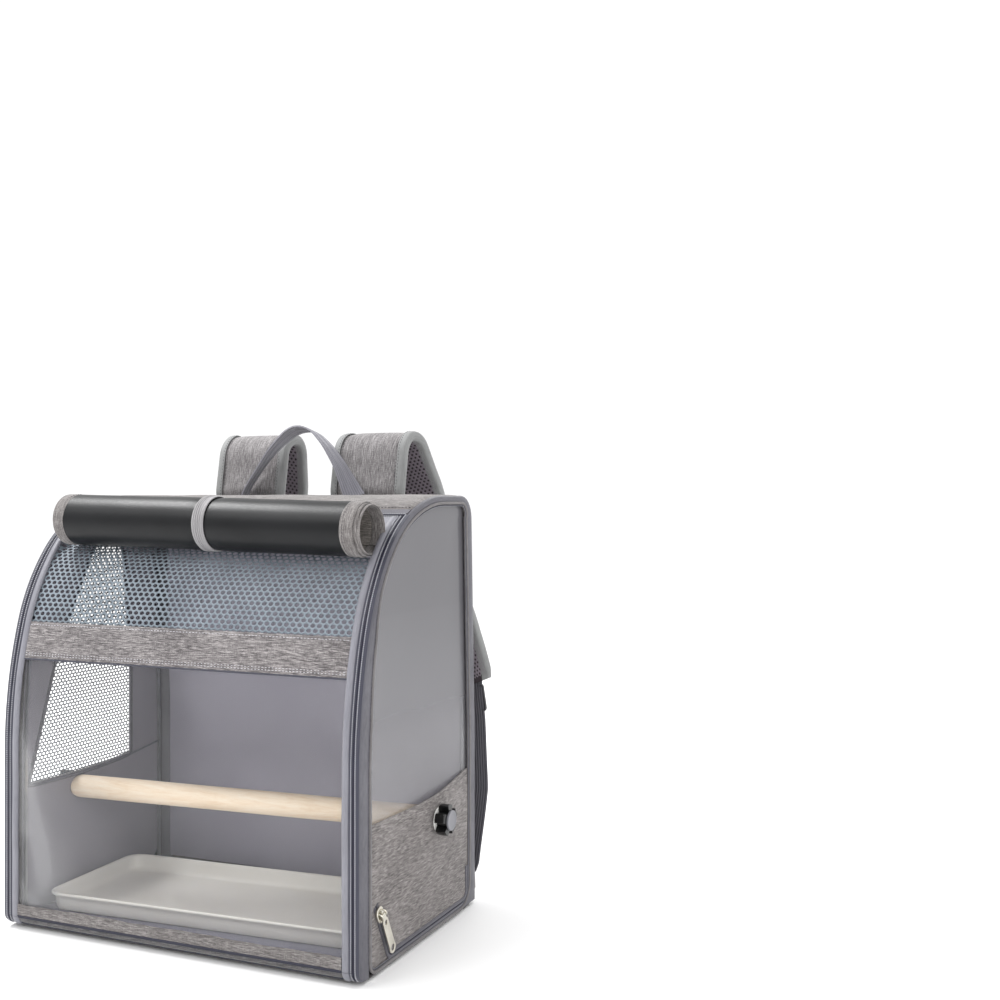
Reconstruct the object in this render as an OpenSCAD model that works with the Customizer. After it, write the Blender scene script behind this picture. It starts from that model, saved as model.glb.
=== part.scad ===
// Bird travel carrier: soft D-profile shell on a flat base, zip-round front door with
// mesh and clear film, rolled curtain, perch with clamp knobs, lift-out tray, back straps.
// +Z up, front faces -Y, origin at the centre of the base underside. Millimetres.

/* [Body] */
// Width over the side fabric
body_w = 340; // [330:1:350]
// Depth, front face to back face
body_d = 210; // [204:1:216]
// Height of the straight part of the front
front_z = 150; // [142:1:158]
// Start of the rear top corner behind the middle
top_flat_y = 78; // [76:1:80]
// Depth of the tape gusset between the front face and the side piping
gusset_d = 16; // [14:0.5:17]
// Fabric panel thickness
fabric_t = 2; // [1.6:0.1:2.2]
// Radius at which the front bands curl back under the bottom
curl_r = 10; // [8:1:12]

/* [Door] */
// Lower edge of the fabric band
band_z0 = 226; // [220:1:230]
// Upper edge of the fabric band
band_z1 = 256; // [250:1:256]
// Width of the binding around the door window
bind_w = 6.3; // [5:0.1:7]
// Height of the tape strip along the bottom of the door
strip_h = 10; // [8:0.5:12]

/* [Curtain] */
// Outer radius of the rolled curtain
roll_r = 22; // [20:0.5:22]
// Half length of the rolled curtain
roll_hl = 147.5; // [140:0.5:148]
// Middle of the rolled curtain, which sits a little to one side
roll_x = 4; // [0:0.5:4]
// Width of the fabric hem at each end of the roll
hem_w = 12.5; // [10:0.5:24]
// Middle of the elastic strap around the roll
roll_strap_x = 9; // [-20:1:20]
// Middle of the two top zip sliders
zip_mid_x = -4; // [-20:1:20]

/* [Perch] */
// Perch dowel diameter
perch_d = 20; // [16:1:22]
// Height of the perch axis
perch_z = 98; // [92:1:99]
// Middle of the perch axis behind the middle of the carrier
perch_y = 0; // [-6:1:6]
// How far back the right end of the perch is from its middle
perch_skew = 20; // [0:1:22]
// How far down the right end of the perch is from its middle
perch_drop = 2.7; // [0:0.1:3]
// Clamp screw diameter
screw_d = 6; // [5:0.5:6]
// Number of lobes on the star knob
knob_lobes = 5; // [5:1:7]

/* [Tray] */
// Tray length across the carrier
tray_w = 316; // [280:1:317]
// Tray width, front to back
tray_l = 124; // [110:1:136]
// Middle of the tray behind the middle
tray_y = -6; // [-10:1:4]
// How far the tray sits turned in the cabin
tray_turn = 3; // [0:0.5:3]
// Tray height
tray_h = 16; // [12:1:20]

/* [Straps] */
// Shoulder strap width
strap_w = 76; // [70:1:80]
// Inner edge of each strap at the top seam
strap_x0 = 26; // [22:1:30]
// Strap padding thickness
strap_t = 8; // [6:1:9]
// Handle webbing width
handle_w = 22; // [20:1:25]

/* [Part] */
// Which piece to draw

/* [Hidden] */
$fn = 48;
HW = body_w/2;
HD = body_d/2;
E = 0.2;
// front profile: arcs [centre, radius, heading from, heading to]; a heading of 0 climbs, 90 runs back
R1 = 389; A1 = 16;
R2 = 173; A2 = 38;
R3 = 116; A3 = 68;
R4 = 139; A4 = 90;
R5 = 20;  A5 = 178;
function on(c, r, h) = [c[0]-r*cos(h), c[1]+r*sin(h)];
function nextc(p, r, h) = [p[0]+r*cos(h), p[1]-r*sin(h)];
c1 = [-HD+R1, front_z];
c2 = nextc(on(c1, R1, A1), R2, A1);
c3 = nextc(on(c2, R2, A2), R3, A2);
c4 = nextc(on(c3, R3, A3), R4, A3);
top_z = c4[1]+R4;
c5 = [top_flat_y, top_z-R5];
arcs = [[c1,R1,0,A1],[c2,R2,A1,A2],[c3,R3,A2,A3],[c4,R4,A3,A4],[c5,R5,A4,A5]];
function seg(h0, h1, st=4) = [for (a=arcs) let(s=max(h0,a[2]), e=min(h1,a[3]))
  if (e > s+0.01) let(n=max(1,ceil((e-s)/(a[1]>300?2.7:st))))
  for (i=[0:n]) let(h=s+(e-s)*i/n)
  if (i>0 || s==h0 || a[2]==A4) [a[0][0]-a[1]*cos(h), a[0][1]+a[1]*sin(h), h]];
zb = 2.6;
// the front bands curl back under the bottom
cb = [-HD+curl_r, zb+curl_r];
function curl(h0, h1) = [for (i=[0:6]) let(h=h0+(h1-h0)*i/6) concat(on(cb, curl_r, h), [h])];
rear_z = 150;
L_rear = [[HD, rear_z, 180],[HD, zb, 180]];
L_front = concat(seg(0, A5), L_rear);
L_all = concat([[-HD, zb, 0]], L_front);
function gg(h) = h<=6 ? gusset_d : h<28 ? gusset_d-(gusset_d-6)*(h-6)/22 : h<=90 ? 6 : h<178 ? 6+7*(h-90)/88 : 13;
function rev(v) = [for (i=[len(v)-1:-1:0]) v[i]];
function off(L, d) = [for (p=L) [p[0]-d*cos(p[2]), p[1]+d*sin(p[2])]];
function offg(L, k) = [for (p=L) let(d=k-gg(p[2])) [p[0]-d*cos(p[2]), p[1]+d*sin(p[2])]];
// headings of named heights on the first arc, and of the top seam
function hz(z) = asin((z-front_z)/R1);
HS = 61.35;
seam = on(c3, R3, HS);
DEG = 180/(PI*R3);

C_heather = [0.58,0.56,0.54];
C_tape = [0.50,0.50,0.55];
C_dark = [0.22,0.22,0.25];
C_lining = [0.55,0.54,0.58];
C_black = [0.08,0.08,0.09];
C_film = [0.75,0.78,0.82,0.35];
C_mesh = [0.42,0.48,0.54];
C_white = [0.9,0.9,0.88];
C_wood = [0.86,0.74,0.56];
C_metal = [0.78,0.78,0.78];

module yz(x0, x1) { translate([x0,0,0]) rotate([90,0,90]) linear_extrude(x1-x0) children(); }
module xz(y0, y1) { translate([0,y1,0]) rotate([90,0,0]) linear_extrude(y1-y0) children(); }
module band(L, d0, d1, x0, x1) { yz(x0, x1) polygon(concat(off(L,d0), rev(off(L,d1)))); }
module box(a, b) { translate(a) cube(b-a); }
module rrect(x0, x1, y0, y1, r) {
  translate([x0+r, y0]) square([x1-x0-2*r, y1-y0]);
  translate([x0, y0+r]) square([x1-x0, y1-y0-2*r]);
  for (x=[x0+r, x1-r]) for (y=[y0+r, y1-r]) translate([x,y]) circle(r);
}
module mir(s) { if (s>0) children(); else mirror([1,0,0]) children(); }

// ---------- base ----------
module floor_cover() color(C_heather) linear_extrude(2.3) rrect(-HW, HW, -HD+8, HD-1, 10);
module base_board() color(C_dark) translate([0,0,2.6]) linear_extrude(3) rrect(-HW+8, HW-8, -HD+8, HD-10, 8);
module floor_lining() color(C_lining) translate([0,0,5.9]) linear_extrude(1) rrect(-HW+4.5, HW-4.5, -HD+5.5, HD-8, 6);
module base_strip() color(C_heather) band(curl(-62, -14), -0.9, 0.6, -HW+5.8, HW-5.8);

// ---------- back and top ----------
Lb = concat([for (h=[150,164,178]) concat(on(c5,R5,h),[h])], L_rear);
module back_panel() color(C_heather) band(Lb, -fabric_t, 0, -HW+3.2, HW-3.2);
module back_board() color(C_dark) band(concat([[on(c5,R5,178)[0], on(c5,R5,178)[1]-6, 178],[HD,rear_z,180],[HD,8,180]]), -fabric_t-3.3, -fabric_t-0.3, -HW+8, HW-8);
module back_lining() color(C_lining) band(concat([[on(c5,R5,178)[0], on(c5,R5,178)[1]-3, 178],[HD,rear_z,180],[HD,7.2,180]]), -fabric_t-4.6, -fabric_t-3.6, -HW+4.5, HW-4.5);
module top_panel() color(C_heather) band(concat(seg(HS+4.8, 90), [for (h=[102,114,126,138,148.5]) concat(on(c5,R5,h),[h])]), -fabric_t, 0, -HW+3.2, HW-3.2);

// ---------- sides ----------
module side_shape(k) { polygon(offg(L_all, k)); }
module gusset(s) color(C_tape) mir(s) yz(HW-2.8, HW) difference() {
  polygon(off(concat(curl(-64, -8), L_front), 1));
  polygon(concat(offg(L_all, 2), [[HD-11, -5],[-HD+gusset_d-2, -5]]));
}
module gusset_l() gusset(-1);
module gusset_r() gusset(1);
module piping(s) color(C_tape) mir(s) yz(HW-1.8, HW+1.8) difference() {
  side_shape(1.8);
  difference() { side_shape(-1.8); translate([-HD, 0]) square([2*HD, 6.2]); }
}
module piping_l() piping(-1);
module piping_r() piping(1);
module hoop(s) color(C_metal) mir(s) yz(HW-6.2, HW-4) difference() {
  polygon(concat(offg(concat([[-HD, 8, 0]], seg(0,A5), [[HD, rear_z, 180],[HD, 8, 180]]), -1.2)));
  polygon(concat(offg(concat([[-HD, 7, 0]], seg(0,A5), [[HD, rear_z, 180],[HD, 7, 180]]), -3.6)));
}
module hoop_l() hoop(-1);
module hoop_r() hoop(1);
// top edge of the lower side panels sags a little in the middle
function sag(y) = 113.5 + (y>-25 ? 9.8*pow((y+25)/117,2) : 1.1*pow((y+25)/60,2));
Yq0 = -HD+gusset_d+2;
Yq1 = HD-13-2;
module low_region(k) polygon(concat([[Yq0-20, -5]], [for (i=[0:10]) let(y=Yq0-20+(Yq1-Yq0+40)*i/10) [y, sag(y)+k]], [[Yq1+20, -5]]));
function py(s) = perch_y+s*perch_skew;
function pz(s) = perch_z-s*perch_drop;
module at_side(s, x) { translate([0, py(s), pz(s)]) mir(s) translate([x,0,0]) rotate([0,90,0]) children(); }
module screw_hole(s) at_side(s, HW-10) cylinder(d=screw_d+0.4, h=15);
module panel(s) color(C_heather) difference() {
  mir(s) yz(HW-2.4, HW-0.6) difference() {
    intersection() { side_shape(-2); low_region(0); }
    translate([-HD, 0]) square([2*HD, 6.4]);
  }
  screw_hole(s);
}
module panel_l() panel(-1);
module panel_r() panel(1);
module film_right() color(C_film) yz(HW-3.6, HW-2.8) difference() { side_shape(-2); low_region(-8); }
function win(k) = [[-79-k, 116-k], [-50-k, 213], [-36-k, 247], [0-k, 316+k], [37+k, 316+k], [48+k, 206], [48+k, 117-k]];
module lining_left() color(C_lining) difference() {
  yz(-HW+2.8, -HW+3.8) difference() {
    side_shape(-2);
    polygon(win(0));
    translate([-HD, 0]) square([2*HD, 7.2]);
  }
  screw_hole(-1);
}
module mesh_left() color(C_mesh) yz(-HW+1.6, -HW+2.5) difference() { polygon(win(5)); low_region(0.3); }
module frame_left() color(C_heather) yz(-HW+0.4, -HW+2.5) difference() { side_shape(-2); low_region(0.3); polygon(win(5.2)); }

// ---------- front zip: body side ----------
module run(L, h1, d0, d1, x0, x1) { for (s=[-1,1]) mir(s) band(concat(L, seg(0, h1)), d0, d1, x0, x1); }
module coil_body() color(C_dark) {
  run(curl(-60, -8), HS+0.05+2.4*DEG, -0.9, 1.1, HW-5.4, HW-3);
  band(seg(HS+0.05, HS+0.05+2.4*DEG, 1), -0.9, 1.1, -HW+3.1, HW-3.1);
}
module zip_tape_top() color(C_tape) band(seg(HS+0.05+2.6*DEG, HS+4.6, 2), -1, 0.6, -HW+3, HW-3);

// ---------- door ----------
zd = zb+8.4;
hin = HW-8.2-bind_w;
Ld = [[-HD, zd, 0]];
module door_coil() color(C_dark) {
  run(Ld, HS-0.05, -0.9, 1.1, HW-8, HW-5.6);
  band(seg(HS-0.05-2.4*DEG, HS-0.05, 1), -0.9, 1.1, -HW+5.7, HW-5.7);
}
module door_binding() color(C_tape) {
  run(Ld, HS-0.05-2.6*DEG, -1.2, 1, hin, HW-8.2);
  band(seg(HS-0.05-9.5*DEG, HS-0.05-2.6*DEG, 2), -1.2, 1, -HW+8.3, HW-8.3);
}
RH = 46;
// depth of the trough under the rolled curtain
function dip(h) = let(a=abs(h-RH)/(h>RH ? 12.5 : 17)) a<1 ? 6.9*pow(cos(90*a),2) : 0;
function offv(L, d) = [for (p=L) let(q=d-dip(p[2])) [p[0]-q*cos(p[2]), p[1]+q*sin(p[2])]];
Lm = seg(hz(241.5), HS-0.05-3.2*DEG, 2);
module door_mesh() color(C_mesh) {
  yz(-hin+1, hin-1) polygon(concat(offv(Lm, -2.4), rev(offv(Lm, -1.5))));
  for (s=[-1,1]) mir(s) {
    yz(hin-2, hin-1) polygon(concat(offv(Lm, -2.4), rev(off(Lm, -1.5))));
    yz(hin-1.2, HW-9.5) polygon(concat(off(Lm, -2.4), rev(off(Lm, -1.5))));
  }
}
module door_band() color(C_heather) band(seg(hz(band_z0), hz(band_z1)), -1.2, 0.8, -hin+0.2, hin-0.2);
module door_film() color(C_film) band(concat([[-HD, zd+1.5, 0]], seg(0, hz(240.5))), -2.4, -1.5, -HW+9.5, HW-9.5);
module door_strip() color(C_tape) xz(-HD-0.4, -HD+1.2) translate([-hin+0.2, zd]) square([2*hin-0.4, strip_h]);

// ---------- rolled curtain ----------
// the roll lies between the side bindings and presses a shallow trough into the net
rc = on(c3, R3+16, RH);
roll_in = 18.2;
module tube(r0, r1, x0, x1) { translate([x0, rc[0], rc[1]]) rotate([0,90,0]) difference() { cylinder(r=r1, h=x1-x0, $fn=96); translate([0,0,-1]) cylinder(r=r0, h=x1-x0+2, $fn=48); } }
module flap(k0, k1, x0, x1) { yz(x0, x1) polygon(concat(offv(seg(RH-1, 56.4, 2), k0), rev(offv(seg(RH-1, 56.4, 2), k1)))); }
module curtain_roll() color(C_black) {
  tube(roll_in, roll_r, roll_x-roll_hl+hem_w, roll_x+roll_hl-hem_w);
  difference() {
    flap(-1.1, 1.3, roll_x-roll_hl+hem_w, roll_x+roll_hl-hem_w);
    box([roll_strap_x-6.4, -140, 290], [roll_strap_x+6.4, 0, 370]);
  }
}
module hem_l() color(C_heather) tube(roll_in, roll_r+0.5, roll_x-roll_hl, roll_x-roll_hl+hem_w-0.2);
// the inner turns stick out a little further at this end
module hem_r() color(C_heather) {
  tube(roll_in, roll_r+0.5, roll_x+roll_hl-hem_w+0.2, roll_x+roll_hl);
  tube(roll_in, roll_r-1.6, roll_x+roll_hl-0.2, roll_x+roll_hl+1.7);
}
module roll_strap() color(C_tape) {
  tube(roll_r+0.2, roll_r+1.5, roll_strap_x-6, roll_strap_x+6);
  flap(-1.15, 0.3, roll_strap_x-6, roll_strap_x+6);
}

// ---------- zip sliders; local x is the travel, z is out of the fabric ----------
module slider_shape(l, w) {
  difference() {
    union() {
      translate([0,0,1.35]) linear_extrude(1.5) rrect(-l/2, l/2, -w/2, w/2, 2);
      for (s=[-1,1]) translate([0, s*3.2-0.6, 0]) rotate([-90,0,0]) linear_extrude(1.2) { translate([-1.7,-4.9]) square([3.4, 2.2]); translate([0,-4.9]) circle(1.7); }
      translate([0,-3.4,4.9]) rotate([-90,0,0]) cylinder(r=0.9, h=6.8, $fn=24);
    }
  }
}
module pull_shape(l, w) {
  difference() {
    union() {
      translate([0,-2.3,4.9]) rotate([-90,0,0]) cylinder(r=1.7, h=4.6, $fn=32);
      translate([0,0,4.2]) linear_extrude(1.4) { translate([0,-2.3]) square([5,4.6]); rrect(3.4, l, -w/2, w/2, 1.6); translate([l,0]) circle(w/2+0.5); }
    }
    translate([0,-5,4.9]) rotate([-90,0,0]) cylinder(r=0.97, h=10, $fn=24);
    translate([l,0,0]) cylinder(r=w/2-1.6, h=10, $fn=32);
    translate([7.2,0,0]) linear_extrude(10) rrect(-2, 2, -1.4, 1.4, 1.2);
  }
}
module on_seam(x, s) { multmatrix([[s,0,0,x],[0,sin(HS),-cos(HS),seam[0]],[0,cos(HS),sin(HS),seam[1]],[0,0,0,1]]) children(); }
sx = 9;
module top_slider_l() color(C_dark) on_seam(zip_mid_x-sx, -1) slider_shape(12, 8);
module top_slider_r() color(C_dark) on_seam(zip_mid_x+sx, 1) slider_shape(12, 8);
module top_pull_l() color(C_dark) on_seam(zip_mid_x-sx, -1) pull_shape(18, 6);
module top_pull_r() color(C_dark) on_seam(zip_mid_x+sx, 1) pull_shape(18, 6);
// tray-access zip low on the right side: slants down, then runs back along the bottom
sa = [-76, 46];
sb = [-59, 11.2];
sl = norm(sb-sa);
su = (sb-sa)/sl;
sh = 90+atan2(-su[1], su[0]);
Lc = path(sa-8*su, sh, [[0,44.6],[8,90],[0,130.7],[9.5,0],[0,20]]);
module on_side() { multmatrix([[0,0,1,HW-0.2],[su[0],-su[1],0,sa[0]],[su[1],su[0],0,sa[1]],[0,0,0,1]]) children(); }
module side_chain() color(C_dark) band(Lc, -2.1, 2.1, HW-0.4, HW+0.9);
module side_slider() color(C_metal) on_side() slider_shape(13, 9.5);
module side_pull() color(C_metal) on_side() pull_shape(32, 8);

// ---------- perch ----------
module perch() color(C_wood) difference() {
  translate([0, perch_y, perch_z]) rotate([0, 90+atan(perch_drop/HW), atan(perch_skew/HW)]) cylinder(d=perch_d, h=2*HW-9.5, center=true, $fn=64);
  for (s=[-1,1]) at_side(s, HW-27) cylinder(d=screw_d+0.06, h=30);
}
module perch_screws() color(C_metal) for (s=[-1,1]) at_side(s, HW-26.8) cylinder(d=screw_d, h=35.8);
module washers() color(C_white) for (s=[-1,1]) at_side(s, HW-0.3) difference() { cylinder(r=10, h=1.6); translate([0,0,-1]) cylinder(d=screw_d+0.6, h=5); }
module knob(s) color(C_black) at_side(s, HW+1.6) difference() {
  union() {
    cylinder(r=8, h=9.4);
    for (i=[0:knob_lobes-1]) rotate([0,0,180+360/knob_lobes*i]) intersection() { translate([0,-3.5,0.6]) cube([13,7,8.4]); cylinder(r=12.4, h=12, $fn=64); }
  }
  translate([0,0,-1]) cylinder(d=screw_d+0.1, h=9.2);
}
module knob_l() knob(-1);
module knob_r() knob(1);
module cap(s) color(C_tape) at_side(s, HW+1.6+9.6) cylinder(r=8.3, h=1.5);
module cap_l() cap(-1);
module cap_r() cap(1);

// ---------- tray ----------
module tray_area(k, r) rrect(-tray_w/2+k, tray_w/2-k, -tray_l/2+k, tray_l/2-k, r);
module tray() color(C_white) translate([0, tray_y, 7]) rotate([0,0,tray_turn]) difference() {
  union() {
    linear_extrude(tray_h) tray_area(3, 12);
    translate([0,0,tray_h-2]) linear_extrude(2) tray_area(0, 15);
  }
  translate([0,0,2]) linear_extrude(tray_h) tray_area(5, 10);
}

// ---------- carrying ----------
// a walk of straight [0, length] and turning [radius, heading] steps in a plane
function step_pts(p, h, s) = s[0]==0 ? [[p[0]+s[1]*sin(h), p[1]+s[1]*cos(h), h]]
  : let(k=s[1]>h?1:-1, c=[p[0]+k*s[0]*cos(h), p[1]-k*s[0]*sin(h)], n=max(1,ceil(abs(s[1]-h)/8)))
    [for (i=[1:n]) let(a=h+(s[1]-h)*i/n) [c[0]-k*s[0]*cos(a), c[1]+k*s[0]*sin(a), a]];
function walk(p, h, S, i=0) = i>=len(S) ? [] : let(q=step_pts(p,h,S[i]), e=q[len(q)-1]) concat(q, walk([e[0],e[1]], e[2], S, i+1));
function path(p, h, S) = concat([[p[0],p[1],h]], walk(p,h,S));

handle_y = 71;
handle_z = top_z+0.5;
Lh = path([-57, handle_z], 4, [[0,8],[62,62],[46,90],[46,118],[62,176],[0,8]]);
module handle() color(C_tape) translate([0, handle_y+handle_w, 0]) rotate([90,0,0]) linear_extrude(handle_w) polygon(concat(off(Lh,1.3), rev(off(Lh,-1.3))));

Ls = path([HD-4, top_z-5.3], 10, [[0,45],[15,90],[15,158],[0,30],[50,212],[0,38],[40,180],[0,4.2]]);
strap_e = Ls[len(Ls)-1];
module low_strap(k) polygon([[strap_x0+k, strap_e[1]+0.02],[strap_x0+strap_w-k, strap_e[1]+0.02],[strap_x0+strap_w-k+1, strap_e[1]-k],[152-k, strap_e[1]-3-k],[168-k, 250],[183-k, 206],[138+k, 192+k],[strap_x0+60+k, 228]]);
module strap(s) color(C_heather) mir(s) {
  yz(strap_x0+3, strap_x0+strap_w-3) polygon(concat(off(Ls, 0), rev(off(Ls, strap_t))));
  xz(strap_e[0], strap_e[0]+strap_t) low_strap(3);
}
module strap_l() strap(-1);
module strap_r() strap(1);
module strap_mesh(s) color(C_mesh) mir(s) {
  yz(strap_x0+3, strap_x0+strap_w-3) polygon(concat(off(Ls, -1.4), rev(off(Ls, -0.2))));
  xz(strap_e[0]-1.4, strap_e[0]-0.2) low_strap(3);
}
module strap_mesh_l() strap_mesh(-1);
module strap_mesh_r() strap_mesh(1);
module strap_bind(s) color(C_tape) mir(s) {
  for (x=[strap_x0, strap_x0+strap_w-2.8]) yz(x, x+2.8) polygon(concat(off(Ls, -1.6), rev(off(Ls, strap_t+0.4))));
  xz(strap_e[0]-1.6, strap_e[0]+strap_t+0.4) difference() { low_strap(0); low_strap(2.8); translate([strap_x0+2.8, strap_e[1]-3]) square([strap_w-5.6, 5]); }
}
module strap_bind_l() strap_bind(-1);
module strap_bind_r() strap_bind(1);
// ladder-lock below the pad, webbing down to a tab at the lower rear corner
wy = strap_e[0]+4;
module lock(s) color(C_black) mir(s) translate([158, wy, 178]) rotate([0,-9,0]) rotate([90,0,0]) translate([0,0,-2]) difference() {
  linear_extrude(4) rrect(-15, 15, -12, 13, 3);
  translate([0,0,-1]) linear_extrude(6) for (y=[-7,0.5,8]) translate([-11,y-1.9]) square([22,3.8]);
}
module lock_l() lock(-1);
module lock_r() lock(1);
module web(s) color(C_dark) mir(s) yz(148, 170) polygon([[wy-4.2,196],[wy-2.4,196],[wy-2.6,150],[HD+14,92],[HD+6,42],[HD+5.6,30],[HD+3.8,30],[HD+4.2,42],[HD+12.2,92.4],[wy-4.4,150]]);
module web_l() web(-1);
module web_r() web(1);
module web_tab(s) color(C_heather) mir(s) translate([0, HD+3.6, 0]) rotate([90,0,0]) linear_extrude(2.4) polygon([[HW-30, 41],[HW-2, 41],[HW-1, 12],[HW-8, 6],[HW-26, 10]]);
module web_tab_l() web_tab(-1);
module web_tab_r() web_tab(1);

floor_cover();
base_board();
floor_lining();
base_strip();
back_panel();
back_board();
back_lining();
top_panel();
gusset_l();
gusset_r();
piping_l();
piping_r();
hoop_l();
hoop_r();
panel_l();
panel_r();
film_right();
lining_left();
mesh_left();
frame_left();
coil_body();
zip_tape_top();
door_coil();
door_binding();
door_mesh();
door_band();
door_film();
door_strip();
curtain_roll();
hem_l();
hem_r();
roll_strap();
top_slider_l();
top_slider_r();
top_pull_l();
top_pull_r();
side_chain();
side_slider();
side_pull();
perch();
perch_screws();
washers();
knob_l();
knob_r();
cap_l();
cap_r();
tray();
handle();
strap_l();
strap_r();
strap_mesh_l();
strap_mesh_r();
strap_bind_l();
strap_bind_r();
lock_l();
lock_r();
web_l();
web_r();
web_tab_l();
web_tab_r();
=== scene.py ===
import bpy, math
import numpy as np
from mathutils import Vector, Matrix


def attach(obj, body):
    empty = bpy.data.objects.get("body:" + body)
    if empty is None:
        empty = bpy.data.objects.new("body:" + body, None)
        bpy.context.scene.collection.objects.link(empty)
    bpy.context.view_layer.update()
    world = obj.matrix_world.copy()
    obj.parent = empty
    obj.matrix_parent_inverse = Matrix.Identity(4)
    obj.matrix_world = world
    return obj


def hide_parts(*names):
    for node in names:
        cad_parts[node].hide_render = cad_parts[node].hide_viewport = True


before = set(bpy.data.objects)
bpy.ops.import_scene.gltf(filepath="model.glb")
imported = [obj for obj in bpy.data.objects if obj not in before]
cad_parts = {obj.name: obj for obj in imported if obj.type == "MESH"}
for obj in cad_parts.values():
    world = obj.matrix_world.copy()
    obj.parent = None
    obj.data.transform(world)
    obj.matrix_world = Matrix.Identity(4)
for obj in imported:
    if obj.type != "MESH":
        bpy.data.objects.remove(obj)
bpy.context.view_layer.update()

RNG = np.random.default_rng(7)
MM = 0.001
PI2 = math.pi / 2

# =====================================================================
# geometry of the shell, in millimetres
# =====================================================================
HW, HD, FZ, ZB = 170.0, 105.0, 150.0, 2.6
GD = 16.0
RAD = math.radians


def _arcs():
    out = []
    c = (-HD + 389.0, FZ)
    out.append([c, 389.0, 0.0, 16.0])
    prev, hp = out[-1], 16.0
    for r, h1 in ((173.0, 38.0), (116.0, 68.0), (139.0, 90.0)):
        pc, pr = out[-1][0], out[-1][1]
        p = (pc[0] - pr * math.cos(RAD(hp)), pc[1] + pr * math.sin(RAD(hp)))
        c = (p[0] + r * math.cos(RAD(hp)), p[1] - r * math.sin(RAD(hp)))
        out.append([c, r, hp, h1])
        hp = h1
    top = out[-1][0][1] + 139.0
    out.append([(78.0, top - 20.0), 20.0, 90.0, 178.0])
    return out, top


ARCS, TOPZ = _arcs()


def on(c, r, h):
    return (c[0] - r * math.cos(RAD(h)), c[1] + r * math.sin(RAD(h)))


def _profile():
    pts = [(-HD, z, 0.0) for z in np.linspace(0, FZ, 61)]
    for k, (c, r, h0, h1) in enumerate(ARCS):
        if k == 4:
            y0 = pts[-1][0]
            for y in np.linspace(y0, 78.0, 14)[1:]:
                pts.append((y, TOPZ, 90.0))
        n = int((h1 - h0) / (0.6 if r > 200 else 1.0 if r > 60 else 3.0))
        for i in range(1, n + 1):
            h = h0 + (h1 - h0) * i / n
            y, z = on(c, r, h)
            pts.append((y, z, h))
    y0, z0 = pts[-1][0], pts[-1][1]
    for t in np.linspace(0, 1, 40)[1:]:
        pts.append((y0 + (HD - y0) * t, z0 + (FZ - z0) * t, 178.0))
    for z in np.linspace(FZ, 0, 40)[1:]:
        pts.append((HD, z, 180.0))
    a = np.array(pts)
    s = np.concatenate([[0], np.cumsum(np.hypot(*(np.diff(a[:, :2], axis=0).T)))])
    return a, s


PR, PS = _profile()


def prof(s, d=0.0):
    """profile point(s) at arc length s, d outward: (y, z, heading)"""
    y, z, h = (np.interp(s, PS, PR[:, k]) for k in range(3))
    hr = np.radians(h)
    return y - d * np.cos(hr), z + d * np.sin(hr), h


def s_of_h(h):
    return float(np.interp(h, PR[60:, 2], PS[60:]))


def s_of_z(z):
    """arc length on the front for a height"""
    return float(z) if z <= FZ else FZ + 389.0 * math.asin((z - FZ) / 389.0)


HS = 61.35
S_SEAM = s_of_h(HS)
SEAM = on(ARCS[2][0], 116.0, HS)


def gg(h):
    h = np.asarray(h, float)
    return np.where(h <= 6, GD, np.where(h < 28, GD - (GD - 6) * (h - 6) / 22, np.where(h <= 90, 6.0, np.where(h < 178, 6 + 7 * (h - 90) / 88, 13.0))))


def side_loop(rr=20.0, rf=9.0, zb=4.2, n=260):
    """closed loop in (y, z) that the side piping follows, its heading, and arc length; runs up the front, back over the top, down and forward"""
    s = np.linspace(0, PS[-1], 900)
    y, z, h = prof(s)
    g = gg(h)
    hr = np.radians(h)
    Y, Z = y + g * np.cos(hr), z - g * np.sin(hr)
    keep = (Z > zb + (rf if True else 0)) & (h < 90) | (Z > zb + rr) & (h >= 90)
    Y, Z = Y[keep], Z[keep]
    pts = list(zip(Y, Z))
    ye, yf = pts[-1][0], pts[0][0]
    for a in np.linspace(0, 90, 10)[1:]:
        pts.append((ye - rr + rr * math.cos(RAD(a)), zb + rr - rr * math.sin(RAD(a))))
    for t in np.linspace(0, 1, 24)[1:-1]:
        pts.append((ye - rr + (yf + rf - ye + rr) * t, zb))
    for a in np.linspace(90, 0, 6)[:-1]:
        pts.append((yf + rf - rf * math.cos(RAD(a)), zb + rf - rf * math.sin(RAD(a))))
    p = np.array(pts)
    # even spacing
    q = np.vstack([p, p[:1]])
    L = np.concatenate([[0], np.cumsum(np.hypot(*np.diff(q, axis=0).T))])
    t = np.linspace(0, L[-1], n + 1)[:-1]
    return np.stack([np.interp(t, L, q[:, 0]), np.interp(t, L, q[:, 1])], 1), t


def inset(loop, d):
    """closed (y, z) loop moved inward by d along its normals"""
    t = np.roll(loop, -1, 0) - np.roll(loop, 1, 0)
    t /= np.maximum(np.linalg.norm(t, axis=1)[:, None], 1e-9)
    n = np.stack([t[:, 1], -t[:, 0]], 1)  # clockwise path going up the front: inward is to its right
    return loop + n * d


LOOP, LOOP_T = side_loop()


SKEW, DROP, PZ0 = 20.0, 2.7, 98.0  # perch: right end back and down, and its middle height


def sag(y):
    y = np.asarray(y, float)
    return 113.5 + np.where(y > -25, 9.8 * ((y + 25) / 117.0) ** 2, 1.1 * ((y + 25) / 60.0) ** 2)


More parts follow.
